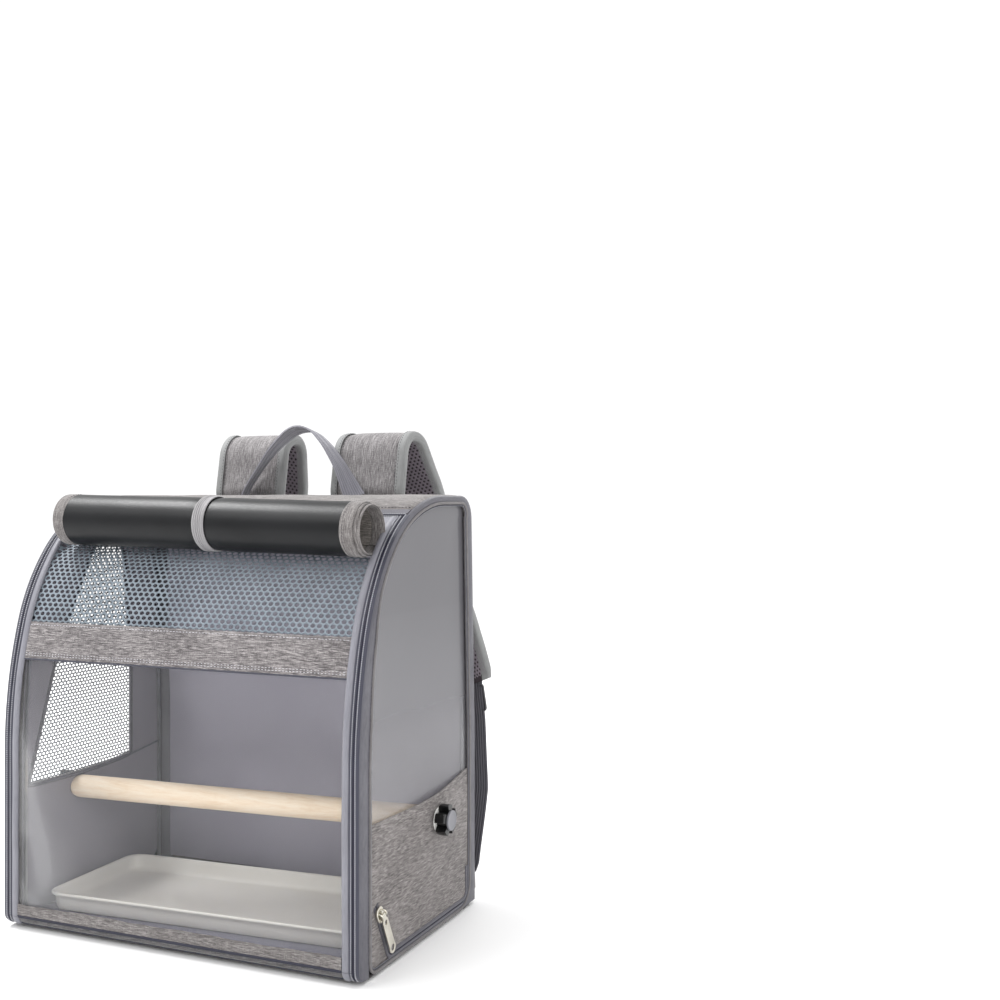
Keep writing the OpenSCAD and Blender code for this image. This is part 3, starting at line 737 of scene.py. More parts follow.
def rounded(w, t, n=3, k=1.0):
    """closed counterclockwise section of a tape w wide and t thick with round edges"""
    r = t / 2 * k
    pts = []
    for cx, a0 in ((w / 2 - r, -90), (-w / 2 + r, 90)):
        for i in range(n + 1):
            a = RAD(a0 + 180 * i / n)
            pts.append((cx + r * math.cos(a), t / 2 * math.sin(a)))
    return np.array(pts)


def frame_front(s, side=1):
    """centre points at x=0, outward normal and tangent on the front profile at arc lengths s"""
    y, z, h = prof(s)
    hr = np.radians(h)
    N = np.stack([np.zeros_like(y), -np.cos(hr), np.sin(hr)], 1)
    T = np.stack([np.zeros_like(y), np.sin(hr), np.cos(hr)], 1)
    C = np.stack([np.zeros_like(y), y, z], 1)
    return C, N, T


# =====================================================================
# side bands: outer tape of the zip and the piping (shell)
# =====================================================================
S_TOP_REAR = s_of_h(150)
CRL, CYC, CZC = 10.0, -HD + 10.0, ZB + 10.0  # the front bands curl back under the bottom


def rim_path(off, s_end, side, z_from=None, step=3.0, h0=-62.0, z_to=None):
    """path of a strip at X = HW - off: from the curl under the bottom, or from z_from, straight up the front to arc length s_end.
    returns C, A (outward in the face, away from the door), N (out of the face)"""
    C, N = [], []
    s0 = CZC if z_from is None else z_from
    if z_from is None:
        h1 = 0.0 if z_to is None else math.degrees(math.asin((z_to - CZC) / CRL))
        for h in np.linspace(h0, h1, 10)[:None if z_to else -1]:
            ch, sh = math.cos(RAD(h)), math.sin(RAD(h))
            C.append((0.0, CYC - CRL * ch, CZC + CRL * sh))
            N.append((0.0, -ch, sh))
    if z_to is None:
        s = np.append(np.arange(s0, s_end - 0.5, step), s_end)
        C2, N2, _ = frame_front(s)
        C, N = (np.concatenate([np.array(C), C2]), np.concatenate([np.array(N), N2])) if len(C) else (C2, N2)
    C, N = np.array(C, float), np.array(N, float)
    C[:, 0] = side * (HW - off)
    A = np.tile([float(side), 0, 0], (len(C), 1))
    return C, A, N


def orient(sec, side):
    """sections are drawn for the right side; the left side mirrors them, so their order is turned"""
    return sec if side > 0 else sec[..., ::-1, :]


def side_gusset(side):
    """the smooth outer tape: from the zip over the rounded edge to the piping, along the whole outline"""
    mb = MB()
    s = np.concatenate([np.arange(CZC, 150, 5), np.arange(150, PS[-1] - 195, 3.5), np.arange(PS[-1] - 195, PS[-1] - 25, 7), np.arange(PS[-1] - 24, PS[-1] - 3.5, 2.5), [PS[-1] - 3.5]])
    y, z, h = prof(s)
    g = gg(h)
    low = (h > 179) & (z < 24.2)
    g = np.where(low, 33.0 - np.sqrt(np.clip(400.0 - (24.2 - z) ** 2, 0, None)), g)
    n = len(s)
    # section across: a from the zip edge (x in from the side), d inward
    rows = []
    for i in range(n):
        G = g[i] - 1.2
        x0 = HW - 2.2
        r = 2.0
        pts = [(x0 - 0.1, 0.25)]
        pts += [(x0 + 0.5, -0.35), (HW - r, -0.45)]
        for a in (22, 45, 68):
            pts.append((HW - r + r * math.sin(RAD(a)) + 0.0, r - r * math.cos(RAD(a)) - 0.35))
        for t in (0.0, 0.33, 0.66, 1.0):
            d = r + (G - r) * t
            pts.append((HW + 0.35 * math.sin(math.pi * t), d))
        back = [(HW - 1.6, G), (HW - 1.5, r + 1.2), (HW - 2.3, 1.5), (x0 - 0.1, 1.1)]
        rows.append(pts + back)
    R = np.array(rows)
    hr = np.radians(h)
    P = np.zeros((n, R.shape[1], 3))
    P[..., 0] = R[..., 0] * side
    P[..., 1] = y[:, None] + R[..., 1] * np.cos(hr)[:, None]
    P[..., 2] = z[:, None] - R[..., 1] * np.sin(hr)[:, None]
    # lower front corner: the front edge curls back under the bottom
    k = 8
    extra = []
    Gt = g[0] - 1.2
    for zz in np.linspace(3.2, CZC - 0.9, k):
        yf = CYC - math.sqrt(max(0.0, CRL ** 2 - (CZC - zz) ** 2))
        extra.append([(side * x, yf + (d * (-HD + Gt - yf) / Gt if d > 0 else d), zz) for (x, d) in rows[0]])
    P = np.concatenate([np.array(extra), P])
    mid = P[:, 7]
    u = cum(mid)
    v = cum(R[n // 2])
    v = np.append(v, v[-1] + 1)
    uv = np.stack(np.meshgrid(u, v, indexing="ij"), -1)
    mb.grid(P, False, True, uv, 0, flip=side < 0)
    m = P.shape[1]
    for row, fl in ((P[0], side < 0), (P[-1], side > 0)):
        idx = list(range(m))
        mb.add(row, [idx[::-1] if fl else idx], [np.zeros((m, 2))], 0)
    # a topstitch row close to the piping
    a, b = P[k:, 9], P[k:, 8]
    line = a * 0.9 + b * 0.1
    Q, T, t = along(line, 3.0)
    Nn = np.tile([side, 0, 0], (len(Q), 1)).astype(float)
    pills(mb, Q, T, Nn, 2.2, 0.35, 0.12, 1)
    nm = "gusset_r" if side > 0 else "gusset_l"
    return mb.build("outer_tape_" + nm[-1], [M["tape"], M["thread_dk"]], "shell", [nm], "tape")


def side_piping(side):
    """round cord in heather bias around the side panel, with its flat flange"""
    mb = MB()
    L = LOOP
    n = len(L)
    t = np.roll(L, -1, 0) - np.roll(L, 1, 0)
    t /= np.linalg.norm(t, axis=1)[:, None]
    nin = np.stack([t[:, 1], -t[:, 0]], 1)
    C = np.stack([np.full(n, side * (HW + 0.15)), L[:, 0], L[:, 1]], 1)
    A = np.stack([np.zeros(n), -nin[:, 0], -nin[:, 1]], 1)  # outward in the plane of the side
    B = np.tile([side, 0.0, 0.0], (n, 1))
    sec = []
    r = 1.25
    for a in np.linspace(-30, 210, 11):
        sec.append((r * math.cos(RAD(a)), r * math.sin(RAD(a))))
    sec += [(-2.6, -0.35), (-2.6, -1.3), (0.6, -1.5)]
    sec = np.array(sec)
    # counterclockwise seen along the path
    sweep(mb, C, A, B, orient(sec[::-1], side), 0, closed=True)
    # the dark seam line beside the cord, and a thin light line at the edge of its flange that is a painted highlight
    for o, rr_, mt in ((-1.75, 0.32, 1), (-2.5, 0.22, 2)):
        ring = np.array([(o + rr_ * math.cos(q), 0.0 + rr_ * math.sin(q)) for q in np.linspace(0, 2 * math.pi, 7)[:-1]])
        sweep(mb, C, A, B, orient(ring[::-1], side), mt, closed=True)
    nm = "piping_r" if side > 0 else "piping_l"
    return mb.build("side_" + nm, [M["piping"], M["coil"], M["tape_lt"]], "shell", [nm], "heather")


for sd in (1, -1):
    side_gusset(sd)
    side_piping(sd)


# =====================================================================
# zip: tape, coil and stitches, body half and door half
# =====================================================================
def zip_half(mb, C, A, N, w, teeth_at, stitch_at, side, mat_t=0, mat_c=1, mat_s=2, dz=0.0):
    """C is the middle of the half tape, A points away from the chain's middle"""
    sec = np.array([(-w / 2, -0.55), (w / 2, -0.55), (w / 2, 0.1), (w * 0.28, 0.42), (0.0, 0.5), (-w * 0.3, 0.42), (-w / 2, 0.15)])
    C = C + N * dz
    sweep(mb, C, A, N, orient(sec[::-1], side), mat_t)
    Q, T, t = along(C + A * teeth_at, 1.35)
    i = np.searchsorted(cum(C + A * teeth_at), t).clip(1, len(C) - 1)
    pills(mb, Q + N[i] * 0.35, A[i], N[i], 1.3, 0.8, 0.7, mat_c)
    Q, T, t = along(C + A * stitch_at, 1.6)
    i = np.searchsorted(cum(C + A * stitch_at), t).clip(1, len(C) - 1)
    pills(mb, Q + N[i] * 0.45, T, N[i], 0.95, 0.9, 0.5, mat_s, slant=0.2)


def body_zip():
    mb = MB()
    for side in (1, -1):
        C, A, N = rim_path(2.6, S_SEAM + 1.0, side)
        zip_half(mb, C, A, N, 4.8, -2.3, -0.6, side)
    # top run on the seam
    s = S_SEAM + 1.35
    C0, N0, T0 = frame_front(np.array([s]))
    xs = np.arange(-HW + 4, HW - 3.9, 4.0)
    C = np.stack([xs, np.full(len(xs), C0[0, 1]), np.full(len(xs), C0[0, 2])], 1)
    A = np.tile(T0[0], (len(xs), 1))
    N = np.tile(N0[0], (len(xs), 1))
    zip_half(mb, C, A, N, 2.4, -0.9, 0.6, 1)
    return mb.build("zip_body", [M["zip_tape"], M["coil"], M["thread"]], "shell", ["coil_body"], "coil")


def door_zip():
    mb = MB()
    zd = ZB + 8.6
    for side in (1, -1):
        C, A, N = rim_path(7.1, S_SEAM - 1.2, side, z_from=zd)
        zip_half(mb, C, -A, N, 4.2, -1.95, -0.3, -side)
    s = S_SEAM - 1.35
    C0, N0, T0 = frame_front(np.array([s]))
    xs = np.arange(-HW + 7, HW - 6.9, 4.0)
    C = np.stack([xs, np.full(len(xs), C0[0, 1]), np.full(len(xs), C0[0, 2])], 1)
    A = np.tile(-T0[0], (len(xs), 1))
    N = np.tile(N0[0], (len(xs), 1))
    zip_half(mb, C, A, N, 2.4, -0.9, 0.6, -1)
    return mb.build("zip_door", [M["zip_tape"], M["coil"], M["thread"]], "door", ["door_coil"], "coil")


body_zip()
door_zip()


def top_zip_tape():
    """flat tape between the top zip and the top panel"""
    mb = MB()
    s = np.linspace(S_SEAM + 2.6, S_SEAM + 10.2, 5)
    y, z, h = prof(s, 0.55)
    yb, zb_, _ = prof(s, -0.9)
    xs = np.linspace(-HW + 3, HW - 3, 90)
    Pf = np.stack([np.stack([xs, np.full(90, y[j]), np.full(90, z[j])], 1) for j in range(5)], 1)
    Pb = np.stack([np.stack([xs, np.full(90, yb[j]), np.full(90, zb_[j])], 1) for j in range(5)], 1)
    uv = np.stack(np.meshgrid(xs, s, indexing="ij"), -1)
    shell(mb, Pf, Pb, uv, 0)
    return mb.build("top_zip_tape", [M["tape"]], "shell", ["zip_tape_top"], "tape")


top_zip_tape()


# =====================================================================
# door
# =====================================================================
HIN = HW - 8.2 - 6.3


def crown_section(w, t_edge, t_mid, n=8, under=1.0):
    top = []
    for i in range(n + 1):
        a = -w / 2 + w * i / n
        q = 1 - (2 * a / w) ** 2
        top.append((a, t_edge + (t_mid - t_edge) * max(0, q) ** 0.55))
    return np.array([(w / 2, -under * 0.6), (-w / 2, -under * 0.6)][::-1] + top[::-1])


def door_binding():
    mb = MB()
    zd = ZB + 8.6
    sec = crown_section(6.0, 0.1, 1.6)
    for side in (1, -1):
        C, A, N = rim_path(11.8, S_SEAM - 4.0, side, z_from=zd)
        # slight waves of real tape
        t = cum(C)
        wob = 0.25 * np.sin(t / 23.0 + side) + 0.18 * np.sin(t / 9.7)
        C = C + A * wob[:, None] * 0.6
        sweep(mb, C, A, N, orient(sec, -side), 0)
        Q, T, tt = along(C + A * -2.0, 2.7)
        i = np.searchsorted(t, tt).clip(1, len(C) - 1)
        pills(mb, Q + N[i] * 0.85, T, N[i], 1.7, 0.5, 0.3, 1)
        Q, T, tt = along(C + A * 2.2, 2.2)
        i = np.searchsorted(t, tt).clip(1, len(C) - 1)
        pills(mb, Q + N[i] * 0.7, T, N[i], 1.4, 0.5, 0.3, 2)
    s = S_SEAM - 9.0
    C0, N0, T0 = frame_front(np.array([s]))
    xs = np.linspace(-HW + 8.6, HW - 8.6, 80)
    C = np.stack([xs, np.full(80, C0[0, 1]), np.full(80, C0[0, 2])], 1)
    A = np.tile(T0[0], (80, 1))
    N = np.tile(N0[0], (80, 1))
    sec2 = crown_section(12.5, 0.2, 0.9)
    sweep(mb, C, A, N, sec2[::-1], 0)
    return mb.build("door_binding_tape", [M["tape_lt"], M["thread_dk"], M["thread"]], "door", ["door_binding"], "tape")


door_binding()


def cyl_pt(x, s, d):
    """points on the front profile pushed out by d"""
    y, z, h = prof(s, d)
    hr = np.radians(h)
    P = np.stack([x, y, z], -1)
    N = np.stack([np.zeros_like(x), -np.cos(hr), np.sin(hr)], -1)
    return P, N


def bulge(x, s, s0, s1, amp):
    """cloth held on four sides swells a little"""
    return amp * np.clip(1 - (x / 160.0) ** 4, 0, 1) * np.sin(np.pi * np.clip((s - s0) / (s1 - s0), 0, 1)) ** 0.8


S_B0, S_B1 = s_of_z(226), s_of_z(256)
S_M0, S_M1 = s_of_z(243), S_SEAM - 8.0


RH = 46.0


def tilt(x):
    """the roll hangs a little lower at the right: change of its heading along its length"""
    return -1.93 * (np.asarray(x, float) - 4.0) / 147.5


def dip(h, x=4.0):
    """depth of the trough that the roll presses into the net"""
    q = np.asarray(h, float) - RH - tilt(x)
    a = np.abs(q) / np.where(q > 0, 12.5, 17.0)
    return np.where(a < 1, 6.9 * np.cos(np.clip(a, 0, 1) * PI2) ** 2, 0.0)


def door_mesh():
    mb = MB()

    def fn(u, v):
        h = np.interp(v, PS, PR[:, 2])
        k = np.clip((157.0 - np.abs(u)) / 4.0, 0, 1)
        return cyl_pt(u, v, -1.7 + bulge(u, v, S_M0, S_M1, 0.8) * 0.6 - dip(h, u) * k * k * (3 - 2 * k))

    net(mb, fn, -158.0, 158.0, S_M0 + 3, S_M1, ru=2.12, rv=1.66, h=0.42)
    return mb.build("door_mesh_net", [M["mesh"]], "door", ["door_mesh"], "mesh", angle=75)


def door_band():
    mb = MB()
    nu, nv = 120, 15
    x = np.linspace(-HIN + 0.3, HIN - 0.3, nu)
    s = np.linspace(S_B0, S_B1, nv)
    X, S = np.meshgrid(x, s, indexing="ij")
    fade = edge_fade(nu, nv, 0.01, 0.13)
    w = wrinkle(X, S, 4, 0.28, low=0.004, high=0.02)
    Pf, N = cyl_pt(X, S, 0.1 + 0.95 * fade + w * fade)
    Pb, _ = cyl_pt(X, S, -1.1)
    uv = np.stack([X, S], -1)
    shell(mb, Pf, Pb, uv, 0)
    for sr, m, pit in ((S_B0 + 2.6, 1, 3.1), (S_B1 - 2.6, 1, 3.1), (S_B0 + 4.4, 1, 3.1)):
        if m is None:
            continue
        xs = np.linspace(-HIN + 1, HIN - 1, 200)
        P, N = cyl_pt(xs, np.full(200, sr), 0.8)
        Q, T, t = along(P, pit)
        i = np.searchsorted(cum(P), t).clip(1, 199)
        pills(mb, Q, T, N[i], 1.9, 0.55, 0.5, m)
    # dark rolled edge below the band
    xs = np.linspace(-HIN + 0.3, HIN - 0.3, 90)
    P, N = cyl_pt(xs, np.full(90, S_B0 - 0.6), 0.0)
    A = np.tile([0.0, 0.0, 1.0], (90, 1))
    sec = np.array([(0.75 * math.cos(a), 0.6 * math.sin(a)) for a in np.linspace(0, 2 * math.pi, 9)[:-1]])
    sweep(mb, P, A, N, sec[::-1], 2)
    return mb.build("door_band_cloth", [M["heather_band"], M["thread"], M["zip_tape"]], "door", ["door_band"], "heather")


def door_film():
    mb = MB()
    nu, nv = 70, 60
    zlo = ZB + 9.9
    s = np.concatenate([np.linspace(zlo, zlo + 18, 12), np.linspace(zlo + 22, S_B0 + 3, nv - 12)])
    hw = np.full(nv, HW - 9.8)
    t = np.linspace(-1, 1, nu)
    X = t[:, None] * hw[None, :]
    S = np.broadcast_to(s, X.shape)
    sw = bulge(X, S, zlo, S_B0, 0.8) + wrinkle(X, S, 11, 0.3, low=0.003, high=0.012) * edge_fade(nu, nv, 0.08, 0.08)
    Pf, N = cyl_pt(X, S, -1.75 + sw)
    Pb, _ = cyl_pt(X, S, -2.25 + sw)
    shell(mb, Pf, Pb, np.stack([X, S], -1), 0)
    return mb.build("door_window_film", [M["film"]], "door", ["door_film"], "film")


def door_strip():
    """lower tape of the door window, its top edge gently wavy, with its dark seam"""
    mb = MB()
    zd = ZB + 8.5
    x = np.linspace(-HIN + 0.4, HIN - 0.4, 110)
    rr = 15.5
    nv = 9
    X = np.repeat(x[:, None], nv, 1)
    top = zd + 9.6 + 0.35 * np.sin(x / 17.0) + 0.2 * np.sin(x / 5.3)
    low = np.full_like(x, zd)
    Z = low[:, None] + (top - low)[:, None] * np.linspace(0, 1, nv)[None]
    f = np.sin(np.pi * np.linspace(0, 1, nv)) ** 0.5
    Pf = np.stack([X, -HD - 0.1 - 0.75 * np.broadcast_to(f, X.shape) - wrinkle(X, Z, 5, 0.12), Z], -1)
    Pb = np.stack([X, np.full_like(X, -HD + 1.1), Z], -1)
    shell(mb, Pf, Pb, np.stack([X, Z], -1), 0)
    # turned hem line on top and the dark seam under it; the seam's dark colour also stands in as painted shade in the
    # crease above the base strip
    for zz, yy, rad, m in ((top + 0.1, -HD - 0.25, 0.55, 0), (low + 0.2, -HD - 0.35, 0.6, 1)):
        C = np.stack([x, np.full_like(x, yy), zz], 1)
        A = np.tile([0.0, 0, 1.0], (len(x), 1))
        N = np.tile([0.0, -1.0, 0], (len(x), 1))
        sec = np.array([(rad * math.cos(a), rad * math.sin(a)) for a in np.linspace(0, 2 * math.pi, 9)[:-1]])
        sweep(mb, C, A, N, sec[::-1], m)
    return mb.build("door_lower_tape", [M["heather_u"], M["coil"]], "door", ["door_strip"], "tape")


door_mesh()
door_band()
door_film()
door_strip()


# =====================================================================
# base
# =====================================================================
def rrect(x0, x1, y0, y1, r, n=6):
    out = []
    for cx, cy, a in ((x1 - r, y1 - r, 0), (x0 + r, y1 - r, 90), (x0 + r, y0 + r, 180), (x1 - r, y0 + r, 270)):
        for i in range(n + 1):
            b = RAD(a + 90 * i / n)
            out.append((cx + r * math.cos(b), cy + r * math.sin(b)))
    return out


def base_parts():
    # front edge of the base: padded heather strip that curls under, with the door's bands running on below the hinge line
    mb = MB()
    x = np.linspace(-HIN + 0.4, HIN - 0.4, 130)
    nv = 13
    t = np.linspace(0, 1, nv)
    hh = -60.0 + 47.0 * t
    X = np.repeat(x[:, None], nv, 1)
    f = np.sin(np.pi * t) ** 0.6
    end = np.clip((HIN - np.abs(X)) / 6.0, 0, 1) ** 0.5
    w = wrinkle(X, np.broadcast_to(hh, X.shape) * 0.5, 8, 0.16)
    R_ = CRL - 0.5 + 0.95 * f * end + w * f
    ch, sh = np.cos(np.radians(hh)), np.sin(np.radians(hh))
    Pf = np.stack([X, CYC - R_ * ch, CZC + R_ * sh], -1)
    Pb = np.stack([X, np.broadcast_to(CYC - 8.2 * ch, X.shape), np.broadcast_to(CZC + 8.2 * sh, X.shape)], -1)
    shell(mb, Pf, Pb, np.stack([X, np.broadcast_to(hh * 0.175, X.shape)], -1), 0)
    # two dark cords along the strip: the upper one is the seam at its top edge, its dark colour also painted shade in
    # the crease; the lower one, low on the curl, is a seam line whose dark colour also serves as painted shadow under
    # the front edge
    for h_, rr_, m in ((-57.0, 0.75, 1), (-15.0, 0.6, 1)):
        C = np.stack([x, np.full_like(x, CYC - (CRL + 0.05) * math.cos(RAD(h_))), np.full_like(x, CZC + (CRL + 0.05) * math.sin(RAD(h_)))], 1)
        A = np.tile([0.0, 0, 1.0], (len(x), 1))
        N = np.tile([0.0, -1.0, 0], (len(x), 1))
        sec = np.array([(rr_ * math.cos(a), rr_ * math.sin(a)) for a in np.linspace(0, 2 * math.pi, 9)[:-1]])
        sweep(mb, C, A, N, sec[::-1], m)
    for side in (1, -1):
        C, A, N = rim_path(11.8, 0, side, z_to=10.9)
        sweep(mb, C, A, N, orient(crown_section(6.0, 0.1, 1.5, under=0.8), -side), 2)
        C, A, N = rim_path(7.1, 0, side, z_to=10.9)
        zip_half(mb, C, -A, N, 4.2, -1.95, -0.3, -side, 3, 1, 4)
    mb.build("base_front_strip", [M["heather_base"], M["coil"], M["tape_lt"], M["zip_tape"], M["thread"]], "shell", ["base_strip"], "heather")

    # bottom cloth, turned up a little at its rim
    mb = MB()
    rings = []
    for d, z in ((40, 0.0), (9, 0.0), (4.0, 0.05), (1.6, 0.5), (0.6, 1.3), (0.5, 1.9), (1.4, 2.2), (5, 2.3), (40, 2.3)):
        pts = rrect(-HW + 0.6 + d, HW - 0.6 - d, -HD + 8 + d, HD - 1 - d, max(3.0, 12.0 - d * 0.3), 6)
        rings.append([(a_, b_, z) for a_, b_ in pts])
    G = np.array(rings)
    m_ = G.shape[1]
    uv = np.concatenate([G[..., :2], G[:, :1, :2]], 1)
    mb.grid(G, False, True, uv, 0)
    mb.add(G[0], [list(range(m_))[::-1]], [G[0][::-1, :2]], 0)
    mb.add(G[-1], [list(range(m_))], [G[-1][:, :2]], 0)
    mb.build("base_bottom_cloth", [M["heather_base"]], "shell", ["floor_cover"], "heather", weld=0.01)

    # floor lining, ribbed, slightly proud along the front
    mb = MB()
    nx, ny = 100, 60
    x = np.linspace(-HW + 5, HW - 5, nx)
    y = np.linspace(-HD + 4.5, HD - 9, ny)
    X, Y = np.meshgrid(x, y, indexing="ij")
    fade = edge_fade(nx, ny, 0.03, 0.05)
    Pf = np.stack([X, Y, 6.25 + 0.5 * fade + wrinkle(X, Y, 3, 0.1) * fade], -1)
    Pb = np.stack([X, Y, np.full_like(X, 5.9)], -1)
    shell(mb, Pf, Pb, np.stack([X, Y], -1), 0)
    mb.build("floor_lining_cloth", [M["lining_floor"]], "shell", ["floor_lining"], "lining")


base_parts()
assign("base_board", M["board"])
assign("back_board", M["board"])
for nm in ("hoop_l", "hoop_r"):
    assign(nm, M["steel"])


# =====================================================================
# top, back
# =====================================================================
def wall_grid(s, x0, x1, nx, d_out, d_in, fade, seed, amp, name, mats, rep, slot, sides=None):
    mb = MB()
    x = np.linspace(x0, x1, nx)
    X, S = np.meshgrid(x, s, indexing="ij")
    f = edge_fade(nx, len(s), *fade)
    w = wrinkle(X, S, seed, amp)
    Pf, N = cyl_pt(X, S, d_out * f - 0.15 + w * f)
    Pb, _ = cyl_pt(X, S, np.full_like(X, d_in))
    shell(mb, Pf, Pb, np.stack([X, S], -1), 0)
    return mb, X, S


def top_panel():
    s0, s1 = S_SEAM + 9.7, s_of_h(148.0)
    s = np.linspace(s0, s1, 42)
    mb, X, S = wall_grid(s, -HW + 3.2, HW - 3.2, 90, 1.3, -1.9, (0.012, 0.05), 21, 0.5, "top", None, None, None)
    xs = np.linspace(-HW + 4, HW - 4, 200)
    for sr in (s0 + 3.0,):
        P, N = cyl_pt(xs, np.full(200, sr), 1.05)
        Q, T, t = along(P, 3.1)
        i = np.searchsorted(cum(P), t).clip(1, 199)
        pills(mb, Q, T, N[i], 2.0, 0.5, 0.35, 1)
    return mb.build("top_panel_cloth", [M["heather_u"], M["thread_dk"]], "shell", ["top_panel"], "heather")


def back_panel():
    s0, s1 = s_of_h(150.5), PS[-1] - 2.8
    s = np.concatenate([[s0], np.linspace(s0 + 3, s1 - 3, 70), [s1]])
    nx = 90
    x = np.linspace(-HW + 3.2, HW - 3.2, nx)
    X, S = np.meshgrid(x, s, indexing="ij")
    f = edge_fade(nx, len(s), 0.02, 0.02)
    # padded back: two sewn channels and a border
    ch = np.ones_like(X)
    for c in (-56.0, 56.0):
        ch *= 1 - 0.9 * np.exp(-((X - c) / 2.6) ** 2)
    ch *= 1 - 0.9 * np.exp(-((S - (s0 + 205)) / 2.6) ** 2)
    w = wrinkle(X, S, 33, 0.35)
    Pf, N = cyl_pt(X, S, (2.2 * ch + w) * f)
    Pb, _ = cyl_pt(X, S, np.full_like(X, -1.9))
    mb = MB()
    shell(mb, Pf, Pb, np.stack([X, S], -1), 0)
    ss = np.linspace(s0 + 4, s1 - 4, 160)
    for c in (-56.0, 56.0):
        P, N = cyl_pt(np.full(160, c), ss, 0.35)
        Q, T, t = along(P, 3.2)
        i = np.searchsorted(cum(P), t).clip(1, 159)
        pills(mb, Q, T, N[i], 2.1, 0.5, 0.35, 1)
    xs = np.linspace(-HW + 8, HW - 8, 160)
    P, N = cyl_pt(xs, np.full(160, s0 + 205), 0.35)
    Q, T, t = along(P, 3.2)
    i = np.searchsorted(cum(P), t).clip(1, 159)
    pills(mb, Q, T, N[i], 2.1, 0.5, 0.35, 1)
    return mb.build("back_panel_cloth", [M["heather_v"], M["thread_dk"]], "shell", ["back_panel"], "heather")


def back_lining():
    s0, s1 = s_of_h(176) + 3, PS[-1] - 7.5
    s = np.linspace(s0, s1, 60)
    nx = 90
    x = np.linspace(-HW + 4.6, HW - 4.6, nx)
    X, S = np.meshgrid(x, s, indexing="ij")
    f = edge_fade(nx, len(s), 0.04, 0.04)
    w = wrinkle(X, S, 51, 0.55, low=0.003, high=0.012)
    Pf, N = cyl_pt(X, S, -6.4 - (0.4 + w * 0.7 + 0.3) * f)
    Pb, _ = cyl_pt(X, S, np.full_like(X, -5.7))
    mb = MB()
    shell(mb, Pf[:, ::-1], Pb[:, ::-1], np.stack([X, S], -1)[:, ::-1], 0)
    # rounded seam tape down both rear corners
    for sd in (1, -1):
        ss = np.linspace(s0 - 4, PS[-1] - 3.2, 60)
        C, N, T = frame_front(ss)
        C = C - N * 7.6 + [sd * (HW - 8.2), 0, 0]
        C[:, 0] += 0.4 * np.sin(np.arange(60) / 5.0)
        sec = np.array([(6.6 * math.cos(a), 2.0 * math.sin(a)) for a in np.linspace(0, 2 * math.pi, 19)[:-1]])
        A = unit(np.cross(T, N) + N * 0.6 * (-1 if sd > 0 else 1))
        Bn = np.cross(T, A)
        sweep(mb, C, A, Bn, sec, 1)
    return mb.build("back_lining_cloth", [M["lining_back_lightened"], M["tape"]], "shell", ["back_lining"], "lining")


top_panel()
back_panel()
back_lining()


# =====================================================================
# sides
# =====================================================================
LIN = inset(LOOP, 1.2)


def loop_fan(loop, centre, levels):
    """star grid between a centre and a closed loop"""
    c = np.array(centre)
    return c + (loop[None] - c) * np.asarray(levels)[:, None, None]


def ray_loop(loop, centre, ang):
    """where rays from centre at angles ang cross a closed loop"""
    q = np.vstack([loop, loop[:1]])
    L = np.concatenate([[0], np.cumsum(np.hypot(*np.diff(q, axis=0).T))])
    tt = np.linspace(0, L[-1], 1201)[:-1]
    loop = np.stack([np.interp(tt, L, q[:, 0]), np.interp(tt, L, q[:, 1])], 1)
    d = loop - centre
    a = np.unwrap(np.arctan2(d[:, 1], d[:, 0]))
    r = np.hypot(d[:, 0], d[:, 1])
    if a[-1] < a[0]:
        a, r = a[::-1], r[::-1]
    a = np.concatenate([a, [a[0] + 2 * math.pi]])
    r = np.concatenate([r, [r[0]]])
    rr = np.interp((ang - a[0]) % (2 * math.pi) + a[0], a, r)
    return np.stack([centre[0] + rr * np.cos(ang), centre[1] + rr * np.sin(ang)], -1)


def loop_z_range(loop, y):
    """lowest and highest z of a loop at given y"""
    q = np.vstack([loop, loop[:1]])
    lo, hi = np.full(len(y), 1e9), np.full(len(y), -1e9)
    for (y0, z0), (y1, z1) in zip(q[:-1], q[1:]):
        a, b = min(y0, y1), max(y0, y1)
        k = (y >= a - 1e-6) & (y <= b + 1e-6)
        if b - a < 1e-6:
            z = np.full(k.sum(), (z0 + z1) / 2)
        else:
            z = z0 + (y[k] - y0) * (z1 - z0) / (y1 - y0)
        lo[k] = np.minimum(lo[k], z)
        hi[k] = np.maximum(hi[k], z)
    return lo, hi


